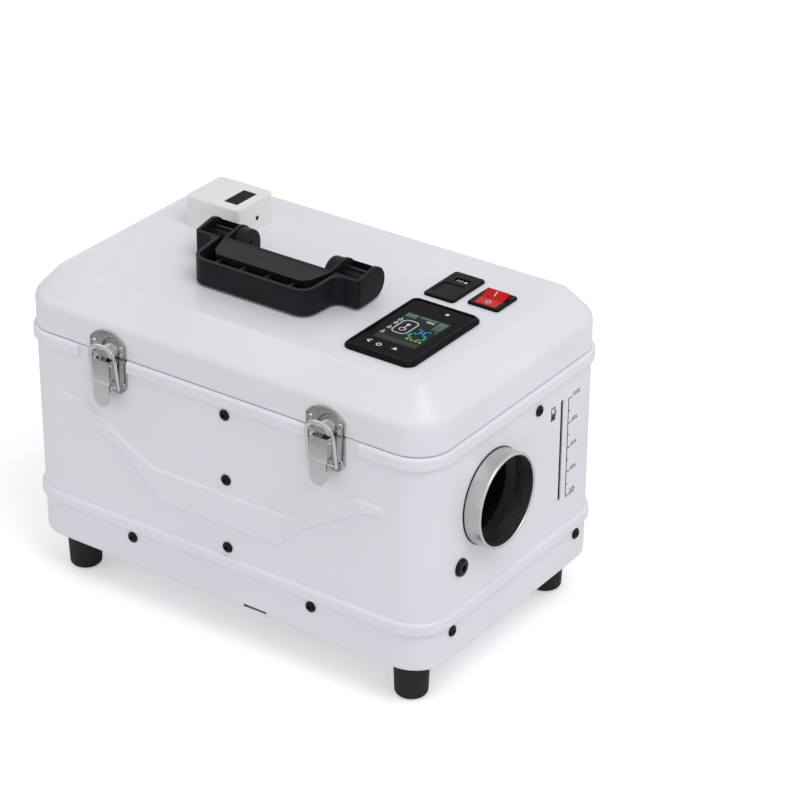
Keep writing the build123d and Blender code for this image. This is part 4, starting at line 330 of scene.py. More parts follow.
# ---------------------------------------------------------------- flat shapes for prints
def plates(*boxes):
    """Rectangles, each between two corners u0, v0 and u1, v1 in millimetres."""
    return [[(u0, v0), (u1, v0), (u1, v1), (u0, v1)] for u0, v0, u1, v1 in boxes]


def ring(u, v, outer, inner, sides=28):
    """Annulus as a run of quads; inner 0 gives a disc."""
    steps = [math.radians(360.0 * i / sides) for i in range(sides + 1)]
    quads = []
    for a, b in zip(steps, steps[1:]):
        corner = [(u + r * math.cos(t), v + r * math.sin(t)) for r, t in
                  ((outer, a), (outer, b), (inner, b), (inner, a))]
        quads.append(corner if inner > 0 else corner[:3])
    return quads


def stroke(points, width, closed=False):
    """Line of even width with mitred corners."""
    count = len(points)
    sides = []
    for i, (u, v) in enumerate(points):
        before = points[i - 1] if closed or i else points[i]
        after = points[(i + 1) % count] if closed or i < count - 1 else points[i]
        one = Vector((u - before[0], v - before[1]))
        two = Vector((after[0] - u, after[1] - v))
        one = one.normalized() if one.length else two.normalized()
        two = two.normalized() if two.length else one
        along = (one + two).normalized()
        # A mitre grows with the bend; 0.4 keeps a sharp one from running out to a spike.
        reach = width / 2 / max(0.4, along.dot(one))
        sides.append(((u - along.y * reach, v + along.x * reach), (u + along.y * reach, v - along.x * reach)))
    pairs = list(zip(sides, sides[1:] + (sides[:1] if closed else [])))
    return [[a[1], b[1], b[0], a[0]] for a, b in pairs]


def rounded_loop(u0, v0, u1, v1, radius, width):
    """Closed outline of a rectangle with round corners."""
    points = []
    for cu, cv, start_angle in ((u1 - radius, v0 + radius, -90), (u1 - radius, v1 - radius, 0),
                                (u0 + radius, v1 - radius, 90), (u0 + radius, v0 + radius, 180)):
        for step in range(5):
            t = math.radians(start_angle + 22.5 * step)
            points.append((cu + radius * math.cos(t), cv + radius * math.sin(t)))
    return stroke(points, width, closed=True)


def seven_segments(bars, u, v, width, height, bar):
    """One display digit from the letters of its lit bars."""
    mid, top, gap = v + height / 2, v + height, bar * 0.2
    lines = {
        "a": ((u, top), (u + width, top)), "g": ((u, mid), (u + width, mid)), "d": ((u, v), (u + width, v)),
        "f": ((u, mid), (u, top)), "b": ((u + width, mid), (u + width, top)),
        "e": ((u, v), (u, mid)), "c": ((u + width, v), (u + width, mid)),
    }
    quads = []
    for name in bars:
        (u0, v0), (u1, v1) = lines[name]
        if v0 == v1:
            quads += plates((u0 + bar / 2 + gap, v0 - bar / 2, u1 - bar / 2 - gap, v0 + bar / 2))
        else:
            quads += plates((u0 - bar / 2, v0 + bar / 2 + gap, u0 + bar / 2, v1 - bar / 2 - gap))
    return quads


def flat_mesh(shapes):
    """Faces in the XY plane, in metres, from outlines in millimetres."""
    made = bmesh.new()
    for outline in shapes:
        made.faces.new([made.verts.new((u * MM, v * MM, 0)) for u, v in outline])
    bmesh.ops.remove_doubles(made, verts=made.verts, dist=WELD)
    return made


def flat_text(words, height):
    """Generic lettering from the built-in font; words are (text, u, v) in millimetres."""
    made = bmesh.new()
    for text, u, v in words:
        curve = bpy.data.curves.new("lettering", "FONT")
        curve.body = text
        curve.size = height * MM / 0.7      # a capital is 0.7 of the font's size
        holder = linked("lettering", curve)
        bpy.context.view_layer.update()
        mesh = evaluated(holder)
        mesh.transform(Matrix.Translation((u * MM, v * MM, 0)))
        made.from_mesh(mesh)
        bpy.data.curves.remove(curve)
        bpy.data.meshes.remove(mesh)
    bmesh.ops.remove_doubles(made, verts=made.verts, dist=WELD)
    return made


def outward(made):
    """Turn every face of a shape outward."""
    bmesh.ops.recalc_face_normals(made, faces=made.faces)
    return made


def raise_faces(made):
    """Extrude every face and return the corners of the new ones."""
    raised = bmesh.ops.extrude_face_region(made, geom=made.faces[:])["geom"]
    return {v for v in raised if isinstance(v, bmesh.types.BMVert)}


def lay_on(made, carrier, origin, across, upward, height):
    """Turn flat faces into a thin raised film that follows the carrier's surface."""
    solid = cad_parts[carrier].data
    below = BVHTree.FromPolygons([v.co for v in solid.vertices], [p.vertices for p in solid.polygons])
    out = across.cross(upward).normalized()
    outward(made)
    for face in made.faces:
        if face.normal.z < 0:
            face.normal_flip()
    raised = raise_faces(made)
    for vert in made.verts:
        point = origin + across * vert.co.x + upward * vert.co.y
        hit = below.ray_cast(point + out * PROBE, -out)[0]
        if hit is None:
            raise RuntimeError(f"print misses {carrier} at {tuple(point)}")
        vert.co = hit + out * (height if vert in raised else -BITE)
    return outward(made)


# ---------------------------------------------------------------- meshes and objects
def as_mesh(made, *finishes):
    """Plain mesh of a shape under construction, with finishes by name."""
    mesh = bpy.data.meshes.new("mesh")
    made.to_mesh(mesh)
    made.free()
    for name in finishes:
        mesh.materials.append(bpy.data.materials[name])
    return mesh


def linked(name, data):
    """Object of the scene with this data."""
    thing = bpy.data.objects.new(name, data)
    bpy.context.scene.collection.objects.link(thing)
    return thing


def evaluated(holder):
    """Plain mesh of what an object comes to; the object goes."""
    mesh = bpy.data.meshes.new_from_object(holder.evaluated_get(bpy.context.evaluated_depsgraph_get()))
    bpy.data.objects.remove(holder)
    return mesh


def piece(name, mesh, body, slot, *stands_for, smooth=None):
    """Finished object that rides on a body; edges stay sharp where they bend more than smooth degrees."""
    mesh.name = name
    thing = linked(name, mesh)
    if smooth:
        mesh.shade_smooth()
        mesh.set_sharp_from_angle(angle=math.radians(smooth))
    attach(thing, body)
    if stands_for:
        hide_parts(*stands_for)


def merge(into, made):
    """Add one mesh under construction to another."""
    mesh = as_mesh(made)
    into.from_mesh(mesh)
    bpy.data.meshes.remove(mesh)


def moved(made, place, turn=0.0):
    """Turn a shape about Y and set it down."""
    if turn:
        bmesh.ops.rotate(made, verts=made.verts, cent=(0, 0, 0), matrix=Matrix.Rotation(turn, 3, "Y"))
    bmesh.ops.translate(made, verts=made.verts, vec=place)
    return made


def top_middle(node):
    """Middle of the top of a CAD node's box."""
    low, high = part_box(node)
    return Vector(((low.x + high.x) / 2, (low.y + high.y) / 2, high.z))


# ---------------------------------------------------------------- solid shapes
def skin(made, loops):
    """Quads between each loop of corners and the next."""
    for one, two in zip(loops, loops[1:]):
        for i in range(len(one)):
            after = (i + 1) % len(one)
            made.faces.new((one[i], one[after], two[after], two[i]))


def lathe(rings, sides, hollow=False):
    """Closed turned solid; each ring is (radius or a function of the angle, height); hollow for a tube."""
    made = bmesh.new()
    loops = []
    for radius, height in rings:
        loop = []
        for i in range(sides):
            t = 2 * math.pi * i / sides
            r = radius(t) if callable(radius) else radius
            loop.append(made.verts.new((r * math.cos(t), r * math.sin(t), height)))
        loops.append(loop)
    skin(made, loops + loops[:1] if hollow else loops)
    if not hollow:
        made.faces.new(loops[0])
        made.faces.new(list(reversed(loops[-1])))
    return outward(made)


def hoop_wire(reach, rise, width, thick, section=12):
    """Flattened wire bent to a hoop: up one side, half round and down again, in the XY plane."""
    # The foot narrows over half its width, so that the wire ends round.
    path = [(-reach, v, size) for v, size in
            ((-0.5 * width, 0.35), (-0.3 * width, 0.85), (0, 1.0), (rise / 2, 1.0))]
    for step in range(25):
        t = math.pi * (1 - step / 24)
        path.append((reach * math.cos(t), rise + reach * math.sin(t), 1.0))
    path += [(-u, v, size) for u, v, size in reversed(path[:4])]
    made = bmesh.new()
    loops = []
    for i, (u, v, size) in enumerate(path):
        before, after = path[max(0, i - 1)], path[min(len(path) - 1, i + 1)]
        along = Vector((after[0] - before[0], after[1] - before[1])).normalized()
        loop = []
        for k in range(section):
            t = 2 * math.pi * k / section
            side, up = width / 2 * size * math.cos(t), thick / 2 * size * math.sin(t)
            loop.append(made.verts.new((u - along.y * side, v + along.x * side, up)))
        loops.append(loop)
    skin(made, loops)
    made.faces.new(loops[0])
    made.faces.new(loops[-1])
    return outward(made)


def rounded_slab(length, width, height, corner, edge, window=None):
    """Box with round corners and a rounded top edge; window is a recess in its top (u, v, l, w, deep)."""
    made = bmesh.new()
    turns = [math.radians(a) for a in (0, 22.5, 45, 67.5, 90)]
    levels = [(0, 0)] + [(edge * (1 - math.cos(t)), height - edge + edge * math.sin(t)) for t in turns]
    loops = []
    for inset, level in levels:
        loop = []
        reach = corner - inset
        for quarter, (sx, sy) in enumerate(CORNERS):
            cx, cy = sx * (length / 2 - corner), sy * (width / 2 - corner)
            for t in turns:
                around = t + quarter * QUARTER
                corner_at = (cx + reach * math.cos(around), cy + reach * math.sin(around), level)
                loop.append(made.verts.new(corner_at))
        loops.append(loop)
    skin(made, loops)
    made.faces.new(loops[0])
    if window is None:
        made.faces.new(loops[-1])
    else:
        recess_top(made, loops[-1], height, *window)
    return outward(made)


def recess_top(made, rim, height, u, v, length, width, deep):
    """Close a top face round a rectangular recess."""
    corners = [(u + sx * length / 2, v + sy * width / 2) for sx, sy in CORNERS]
    upper = [made.verts.new((x, y, height)) for x, y in corners]
    lower = [made.verts.new((x, y, height - deep)) for x, y in corners]
    edges = [made.edges.get((a, b)) or made.edges.new((a, b))
             for loop in (rim, upper) for a, b in zip(loop, loop[1:] + loop[:1])]
    bmesh.ops.triangle_fill(made, edges=edges, use_beauty=True)
    skin(made, [upper, lower])
    made.faces.new(lower)


def button_screw(head, height, socket, shank, length):
    """Button head screw with a hexagon socket, head above z = 0."""
    def hexagon(share):
        """Radius of the socket's outline, times a share, at each angle."""
        sixth = math.pi / 3
        return lambda t: share * (socket / 2 / math.cos((t + sixth / 2) % sixth - sixth / 2))
    r, s = head / 2, shank / 2
    dome = [(r * math.cos(math.radians(a)), height * (0.25 + 0.75 * math.sin(math.radians(a))))
            for a in (0, 15, 30, 45, 58)]
    rings = [(hexagon(share), height * depth) for share, depth in
             ((0.2, 0.36), (0.9, 0.42), (1.0, 0.5), (1.0, 0.94), (1.06, 1.0))]
    rings += [(r * 0.44, height), *reversed(dome), (r * 0.985, height * 0.06), (r * 0.95, 0.0), (s, 0.0),
              (s, -length + 0.5 * MM), (s * 0.8, -length)]
    return lathe(rings, 36)


def islands(name):
    """Boxes of the separate solids in a CAD node, sorted by place so that each run has the same order."""
    made = bmesh.new()
    made.from_mesh(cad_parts[name].data)
    bmesh.ops.remove_doubles(made, verts=made.verts, dist=0.01 * MM)
    waiting, found = set(made.verts), []
    while waiting:
        edge = [waiting.pop()]
        low, high = edge[0].co.copy(), edge[0].co.copy()
        while edge:
            vert = edge.pop()
            low = Vector(map(min, low, vert.co))
            high = Vector(map(max, high, vert.co))
            for link in vert.link_edges:
                other = link.other_vert(vert)
                if other in waiting:
                    waiting.remove(other)
                    edge.append(other)
        found.append((low, high))
    made.free()
    return sorted(found, key=lambda box: [round(c / MM, 1) for c in box[0]])


def seats(nodes, wall):
    """Point and outward direction of every screw in these CAD nodes, on the walls of a case node."""
    low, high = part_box(wall)
    places = []
    for one, two in [box for name in nodes for box in islands(name)]:
        centre = (one + two) / 2
        sides = [(abs(centre.x - low.x), Vector((-1, 0, 0))), (abs(high.x - centre.x), X),
                 (abs(centre.y - low.y), Vector((0, -1, 0))), (abs(high.y - centre.y), Y)]
        facing = min(sides, key=lambda s: s[0])[1]
        axis = 0 if facing.x else 1
        centre[axis] = (low if sum(facing) < 0 else high)[axis]
        places.append((centre, facing))
    return places


# ---------------------------------------------------------------- Geometry Nodes
def new_tree(name, *sockets):
    """Tree with named inputs, each a name, a type and perhaps a default; returns it and its inputs."""
    tree = bpy.data.node_groups.new(name, "GeometryNodeTree")
    for label, kind, *default in sockets:
        made = tree.interface.new_socket(label, in_out="INPUT", socket_type="NodeSocket" + kind)
        if default:
            made.default_value = default[0]
    tree.interface.new_socket("Geometry", in_out="OUTPUT", socket_type="NodeSocketGeometry")
    return tree, add(tree, "NodeGroupInput").outputs


def plant(tree, part, finish, **where):
    """End of a tree: a part on each point, made real and given its finish."""
    source = add(tree, "GeometryNodeObjectInfo", {"Object": part}, transform_space="ORIGINAL")
    placed = add(tree, "GeometryNodeInstanceOnPoints", {"Instance": source.outputs["Geometry"], **where})
    real = add(tree, "GeometryNodeRealizeInstances", {"Geometry": placed.outputs["Instances"]})
    coated = add(tree, "GeometryNodeSetMaterial", {"Geometry": real.outputs[0], "Material": finish})
    add(tree, "NodeGroupOutput", {"Geometry": coated.outputs[0]})
    return tree


def seating_tree():
    """One part on each point, turned to its facing and by a fixed random angle."""
    tree, given = new_tree("seat_fasteners", ("Geometry", "Geometry"), ("Fastener", "Object"),
                           ("Scale", "Float", 1.0), ("Seed", "Int", 3), ("Finish", "Material"))
    facing = add(tree, "GeometryNodeInputNamedAttribute", {"Name": "facing"}, data_type="FLOAT_VECTOR")
    upright = add(tree, "FunctionNodeAlignRotationToVector", {"Vector": facing.outputs["Attribute"]},
                  axis="Z")
    turn = add(tree, "FunctionNodeRandomValue", {"Max": 6.283, "Seed": given["Seed"]}, data_type="FLOAT")
    spin = add(tree, "FunctionNodeAxisAngleToRotation", {"Axis": (0, 0, 1), "Angle": turn.outputs[1]})
    turned = add(tree, "FunctionNodeRotateRotation", {
        "Rotation": upright.outputs[0], "Rotate By": spin.outputs[0]}, rotation_space="LOCAL")
    return plant(tree, given["Fastener"], given["Finish"], Points=given["Geometry"],
                 Rotation=turned.outputs[0], Scale=given["Scale"])


def tick_tree():
    """A row of ticks up the wall, every second one long."""
    tree, given = new_tree("gauge_ticks", ("Tick", "Object"), ("Count", "Int", 9), ("Step", "Float", 0.0112),
                           ("Short", "Float", 0.5), ("Finish", "Material"))
    climb = add(tree, "ShaderNodeCombineXYZ", {"Z": given["Step"]})
    row = add(tree, "GeometryNodeMeshLine", {"Count": given["Count"], "Offset": climb.outputs[0]},
              mode="OFFSET")
    odd = calculate(tree, "MODULO", add(tree, "GeometryNodeInputIndex").outputs[0], 2.0)
    reach = add(tree, "ShaderNodeMapRange", {"Value": odd, "To Min": 1.0, "To Max": given["Short"]})
    size = add(tree, "ShaderNodeCombineXYZ", {"X": 1.0, "Y": reach.outputs[0], "Z": 1.0})
    return plant(tree, given["Tick"], given["Finish"], Points=row.outputs["Mesh"], Scale=size.outputs[0])


def grown(tree, part, points=None, **settings):
    """Run a tree that repeats a part, and return the result as a plain mesh."""
    source = linked("part", as_mesh(part))
    source.hide_render = True
    holder = linked("holder", points or bpy.data.meshes.new("holder"))
    modifier = holder.modifiers.new("tree", "NODES")
    modifier.node_group = tree
    for socket in tree.interface.items_tree:
        if socket.in_out == "INPUT" and socket.name != "Geometry":
            modifier[socket.identifier] = settings.get(socket.name, source)
    bpy.context.view_layer.update()
    mesh = evaluated(holder)
    bpy.data.objects.remove(source)
    return mesh


# ---------------------------------------------------------------- what a user changes
def colour_of(name, description, hex_code):
    """Colour that a user picks."""
    return FloatVectorProperty(name=name, description=description, subtype="COLOR", size=4, min=0, max=1,
                               default=linear(hex_code))


def length_of(name, description, low, usual, high):
    """Length that a user sets, given in millimetres."""
    return FloatProperty(name=name, description=description, unit="LENGTH", default=usual * MM,
                         min=low * MM, max=high * MM)


class HeaterColours(PropertyGroup):
    """Colours of the heater."""
    case: colour_of("Case", "Powder coat of case and lid", "#EAEBF1")
    white_plastic: colour_of("Monitor box", "Moulded box behind the handle", "#ECEEEE")
    handle: colour_of("Handle", "Handle and its brackets", "#17181D")
    controls: colour_of("Controls", "Black plastic of the lid controls", "#101114")
    rocker: colour_of("Rocker", "Paddle of the power switch", "#C41310")
    nickel: colour_of("Latches", "Plating of latches, hinges and rivets", "#D3D2D0")
    stainless: colour_of("Collar", "Outlet collar", "#CDCDCC")
    rubber: colour_of("Feet", "Rubber feet", "#1A1A1E")
    ink: colour_of("Print", "Ink of the fuel scale", "#0E0E11")
    floor: colour_of("Floor", "Floor under the heater", "#F8F8FA")


class HeaterSizes(PropertyGroup):
    """Sizes of what is added to the frame."""
    screw_head: length_of("Screw head", "Across the button heads", 4, 9.5, 14)
    screw_socket: length_of("Screw socket", "Across the flats of the socket", 1, 3.0, 6)
    screw_seed: IntProperty(name="Screw seed", description="Turns the sockets at random", default=3)
    film: length_of("Print thickness", "How far ink stands on its carrier", 0.01, 0.08, 0.5)
    tick_step: length_of("Tick step", "Between two ticks of the fuel scale", 2, 11.25, 20)
    tick_length: length_of("Tick length", "Long ticks of the fuel scale", 1, 4.2, 10)
    label_height: length_of("Label height", "Figures of the fuel scale", 1, 3.6, 8)
    hoop_width: length_of("Hoop width", "Flattened wire of the latch hoops", 2, 3.4, 4.2)
    monitor_length: length_of("Monitor length", "White box along the lid", 40, 55, 60)
    monitor_width: length_of("Monitor width", "White box across the lid", 40, 48, 52)
    monitor_height: length_of("Monitor height", "White box above the lid", 20, 28, 30)
    lens: FloatProperty(name="Lens", description="Focal length on a 36 mm sensor", unit="CAMERA",
                        default=130.57)
    azimuth: FloatProperty(name="Azimuth", description="Camera round the heater from its front",
                           subtype="ANGLE", default=math.radians(35.70))
    elevation: FloatProperty(name="Elevation", description="Camera above the horizon", subtype="ANGLE",
                             default=math.radians(28.49))
    distance: FloatProperty(name="Distance", description="From the camera to the middle of the case",
                            unit="LENGTH", default=2.4309)


# ---------------------------------------------------------------- operators: finishes
class HEATER_OT_case(Operator):
    """Finish the pan, body and lid and what is fixed to their sheet"""
    bl_idname = "heater.case"
    bl_label = "Case"

    def execute(self, context):
        colours = context.scene.heater_colours
        dress("powder_coated_steel", colours.case, "base_pan", "case_body", "lid_shell")
        dress("black_oxide_steel", "#1D1D20", "base_pan_screws", "panel_screws", "side_plug", "handle_pins")
        dress("zinc_plated_steel", "#AEB2B8", "front_stay", "tank_bracket", "foot_screws", "handle_screws",
              "hinge_pins", "heater_shelf", "glow_plug", "blower_motor", "blower_shaft", "intake_stub",
              "fuel_pump")
        dress("moulded_rubber", colours.rubber, "feet", "collar_gasket", "heater_gasket", "pump_clamp",
              "fuel_lines")
        return DONE


class HEATER_OT_latches(Operator):
    """Plate the toggle latches, the hinges and their rivets"""
    bl_idname = "heater.latches"
    bl_label = "Latches and hinges"

    def execute(self, context):
        dress(nickel_plated_steel(context.scene.heater_colours.nickel), None, "latch_bases", "latch_keepers",
              "latch_lever_left", "latch_lever_right", "latch_bail_left", "latch_bail_right", "body_rivets",
              "lid_rivets", "hinge_body_leaves", "hinge_lid_leaves")
        return DONE


class HEATER_OT_handle(Operator):
    """Finish the folding handle and its brackets"""
    bl_idname = "heater.handle"
    bl_label = "Handle"

    def execute(self, context):
        dress("glass_filled_nylon", context.scene.heater_colours.handle, "handle", "handle_brackets")
        return DONE


class HEATER_OT_controls(Operator):
    """Finish the controller, port, switch and monitor box on the lid"""
    bl_idname = "heater.controls"
    bl_label = "Controls"

    def execute(self, context):
        colours = context.scene.heater_colours
        dress("moulded_black_abs", colours.controls, "controller_housing", "usb_plate", "usb_socket",
              "switch_body", "inlet_guard", "power_gland", "heater_lower_shell", "heater_upper_shell",
              "air_impeller", "combustion_wheel", "control_unit", "fuel_cap")
        dress("printed_cover_glass", "#07080A", "controller_glass")
        dress("pressed_glass_dark", "#08110F", "controller_display", "alarm_window")
        dress(solder_masked_board(), None, "controller_board")
        dress("polished_red_plastic", colours.rocker, "rocker")
        dress("moulded_white_abs", colours.white_plastic, "alarm_housing")
        return DONE


class HEATER_OT_air_and_fuel(Operator):
    """Finish the outlet collar, the heater core and the fuel system"""
    bl_idname = "heater.air_and_fuel"
    bl_label = "Air and fuel"

    def execute(self, context):
        dress(brushed_stainless(context.scene.heater_colours.stainless), None, "outlet_collar")
        dress("heat_tinted_stainless", "#B9B8B4", "burner", "exhaust_stub")
        dress("cast_aluminium", "#A9AAAC", "heat_exchanger")
        dress("natural_polyethylene", "#E4E1D6", "fuel_tank")
        dress("smoked_polycarbonate", "#0B0B0E", "sight_window")
        dress("turned_brass", "#C9A24E", "tank_outlet")
        return DONE


# ---------------------------------------------------------------- operators: added pieces
class HEATER_OT_case_screws(Operator):
    """Seat a button head screw at every pan and panel screw of the case"""
    bl_idname = "heater.case_screws"
    bl_label = "Case screws"

    def execute(self, context):
        sizes = context.scene.heater_sizes
        nodes = ("base_pan_screws", "panel_screws")
        head_height, shank, shank_length = 2.6 * MM, 4 * MM, 7 * MM
        places = seats(nodes, "base_pan")
        points = bpy.data.meshes.new("screw_seats")
        points.from_pydata([p for p, _ in places], [], [])
        facing = points.attributes.new("facing", "FLOAT_VECTOR", "POINT")
        facing.data.foreach_set("vector", [c for _, f in places for c in f])
        screw = button_screw(sizes.screw_head, head_height, sizes.screw_socket, shank, shank_length)
        mesh = grown(seating_tree(), screw, points, Scale=1.0, Seed=sizes.screw_seed,
                     Finish=bpy.data.materials["black_oxide_steel"])
        piece("case_screws", mesh, "case", "black_screw", *nodes, smooth=40)
        return DONE


class HEATER_OT_latch_forms(Operator):
    """Bend the latch hoops from flattened wire and press a rim round the latch plates"""
    bl_idname = "heater.latch_forms"
    bl_label = "Latch forms"

    def execute(self, context):
        for side in SIDES:
            self.hoop(f"latch_bail_{side}", side, context.scene.heater_sizes.hoop_width)
        # The keeper's plate ends in an arch, struck from a centre 1.9 mm below its foot.
        inset, radius = 17.2, 21.7
        arch = [(u, -1.9 + math.sqrt(radius ** 2 - u ** 2)) for u in (inset * (i / 8 - 1) for i in range(17))]
        self.rims("keeper_rims", "latch_keepers", "lid", [(-inset, 1.0), *arch, (inset, 1.0)])
        # The base's plate has chamfered lower corners.
        foot = [(-16.7, 30.0), (-16.7, 6.9), (-11.1, 1.5), (11.1, 1.5), (16.7, 6.9), (16.7, 30.0)]
        self.rims("base_rims", "latch_bases", "case", foot)
        return DONE

    def hoop(self, node, side, width):
        """Wire hoop with a pivot stub at each foot, in the place of a bail."""
        low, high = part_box(node)
        straight, thick = 24.1 * MM, 1.8 * MM
        reach = (high.x - low.x) / 2 - width / 2
        made = hoop_wire(reach, straight, width, thick)
        for turn in (QUARTER, -QUARTER):
            stub = lathe([(0.6 * MM, 6.9 * MM), (0.9 * MM, 7.1 * MM), (0.9 * MM, reach)], 16)
            merge(made, moved(stub, (0, 0, 0), turn))
        # The closed hoop leans 6.5 degrees forward from its pivot, clear of the dome.
        lean = math.radians(6.5)
        upward = Vector((0, -math.sin(lean), math.cos(lean)))
        out = Vector((0, -math.cos(lean), -math.sin(lean)))
        # The pivot lies 1.13 mm in front of the bail's back and 2.19 mm above its foot.
        pivot = Vector(((low.x + high.x) / 2, high.y - 1.13 * MM, low.z + 2.19 * MM))
        place = Matrix((X, upward, out)).transposed().to_4x4()
        bmesh.ops.transform(made, verts=made.verts, matrix=Matrix.Translation(pivot) @ place)
        outward(made)
        piece(f"latch_hoop_{side}", as_mesh(made, "nickel_plated_steel"), f"bail_{side}", "nickel", node,
              smooth=50)

    def rims(self, name, carrier, body, points):
        """One raised rim on the plate of each latch."""
        width, height = 1.3, 0.55 * MM
        low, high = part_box(carrier)
        both = bmesh.new()
        for side in SIDES:
            one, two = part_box(f"latch_bail_{side}")
            origin = Vector(((one.x + two.x) / 2, high.y, low.z))
            merge(both, lay_on(flat_mesh(stroke(points, width)), carrier, origin, X, Z, height))
        piece(name, as_mesh(both, "nickel_plated_steel"), body, "nickel", smooth=30)


class HEATER_OT_monitor(Operator):
    """Mould the white monitor box with its window and its sensor"""
    bl_idname = "heater.monitor"
    bl_label = "Monitor box"

    def execute(self, context):
        sizes = context.scene.heater_sizes
        length, height = sizes.monitor_length, sizes.monitor_height
        low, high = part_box("alarm_housing")
        seat = Vector(((low.x + high.x) / 2, (low.y + high.y) / 2, low.z))
        window = (13.5 * MM, -2.2 * MM, 14 * MM, 27 * MM, 1 * MM)
        box = moved(rounded_slab(length, sizes.monitor_width, height, 4 * MM, 2 * MM, window), seat)
        piece("monitor_box", as_mesh(box, "moulded_white_abs"), "lid", "white_plastic", "alarm_housing",
              smooth=30)
        # The pane lies in the recess with 0.1 mm of play on each side.
        pane = rounded_slab(13.8 * MM, 26.8 * MM, 0.8 * MM, 0.5 * MM, 0.2 * MM)
        moved(pane, seat + Vector((*window[:2], height - 1 * MM)))
        piece("monitor_window", as_mesh(pane, "pressed_glass_dark"), "lid", "black_glass", "alarm_window")
        # The sensor is a low dome on the right end, its edge let 0.6 mm into the wall.
        dome = ((1.8, -0.6), (1.9, 0.15), (1.6, 0.3), (0.9, 0.4), (0.3, 0.42))
        eye = lathe([(radius * MM, out * MM) for radius, out in dome], 24)
        moved(eye, seat + Vector((length / 2, 1.5 * MM, 12 * MM)), QUARTER)
        piece("monitor_sensor", as_mesh(eye, "moulded_black_abs"), "lid", "black_plastic")
        return DONE


class HEATER_OT_collar_seal(Operator):
    """Fit the thin seal between the outlet wall and the collar"""
    bl_idname = "heater.collar_seal"
    bl_label = "Collar seal"

    def execute(self, context):
        low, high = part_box("collar_gasket")
        centre = (low + high) / 2
        bore, lip, thick = 38.95 * MM, 40.0 * MM, high.x - low.x
        ring_section = [(bore, 0), (lip, 0), (lip, thick * 0.7), (lip - thick * 0.3, thick), (bore, thick)]
        made = moved(lathe(ring_section, 96, True), (low.x, centre.y, centre.z), QUARTER)
        piece("collar_seal", as_mesh(made, "moulded_rubber"), "case", "rubber", "collar_gasket", smooth=30)
        return DONE


class HEATER_OT_fuel_scale(Operator):
    """Print the fuel scale beside the sight slot: line, ticks, figures and a pump sign"""
    bl_idname = "heater.fuel_scale"
    bl_label = "Fuel scale"

    def execute(self, context):
        sizes = context.scene.heater_sizes
        ink = screen_ink("black_screen_ink", context.scene.heater_colours.ink)
        low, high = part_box("sight_window")
        wall_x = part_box("base_pan")[1].x
        middle = Vector((wall_x, (low.y + high.y) / 2, low.z))
        # The scale's foot stands 10.2 mm behind the slot's middle and 5.4 mm above its end.
        foot = Vector((wall_x, middle.y + 10.2 * MM, low.z + 5.4 * MM))
        step, long, half_line = sizes.tick_step, sizes.tick_length / MM, 0.45
        tick = flat_mesh(plates((0, -half_line, long, half_line)))
        bmesh.ops.transform(tick, matrix=Matrix(((0, 0, 1), (1, 0, 0), (0, 1, 0))).to_4x4(), verts=tick.verts)
        bmesh.ops.translate(tick, vec=(sizes.film, 0, 0), verts=list(raise_faces(tick)))
        outward(tick)
        ticks = grown(tick_tree(), tick, Count=9, Step=step, Short=0.5, Finish=ink)
        ticks.transform(Matrix.Translation(foot))
        piece("scale_ticks", ticks, "case", "black_screw")
        height = 8 * step / MM
        shapes = plates((-1.1, -half_line, 0, height + half_line), (long, -half_line, 12.5, half_line))
        # The pump sign: foot, column with its window, and hose.
        pump_u, pump_v = -27.0, 80.4
        for u0, v0, u1, v1 in ((0, 0, 7.0, 1.6), (0.6, 1.6, 6.4, 6.0), (0.6, 6.0, 1.7, 11.6),
                               (5.3, 6.0, 6.4, 11.6), (0.6, 10.6, 6.4, 11.6), (7.1, 2.4, 8.0, 8.6)):
            shapes += plates((pump_u + u0, pump_v + v0, pump_u + u1, pump_v + v1))
        # The lowest figure stands above the foot line, the others beside their long tick.
        figures = [(f"{20 + 20 * i}%", long + 0.8, 2 * i * step / MM + (-0.4 if i else 1.0))
                   for i in range(5)]
        for name, made in (("scale_line_and_pump", flat_mesh(shapes)),
                           ("scale_figures", flat_text(figures, sizes.label_height / MM))):
            lay_on(made, "case_body", foot, Y, Z, sizes.film)
            piece(name, as_mesh(made, ink.name), "case", "black_screw")
        return DONE


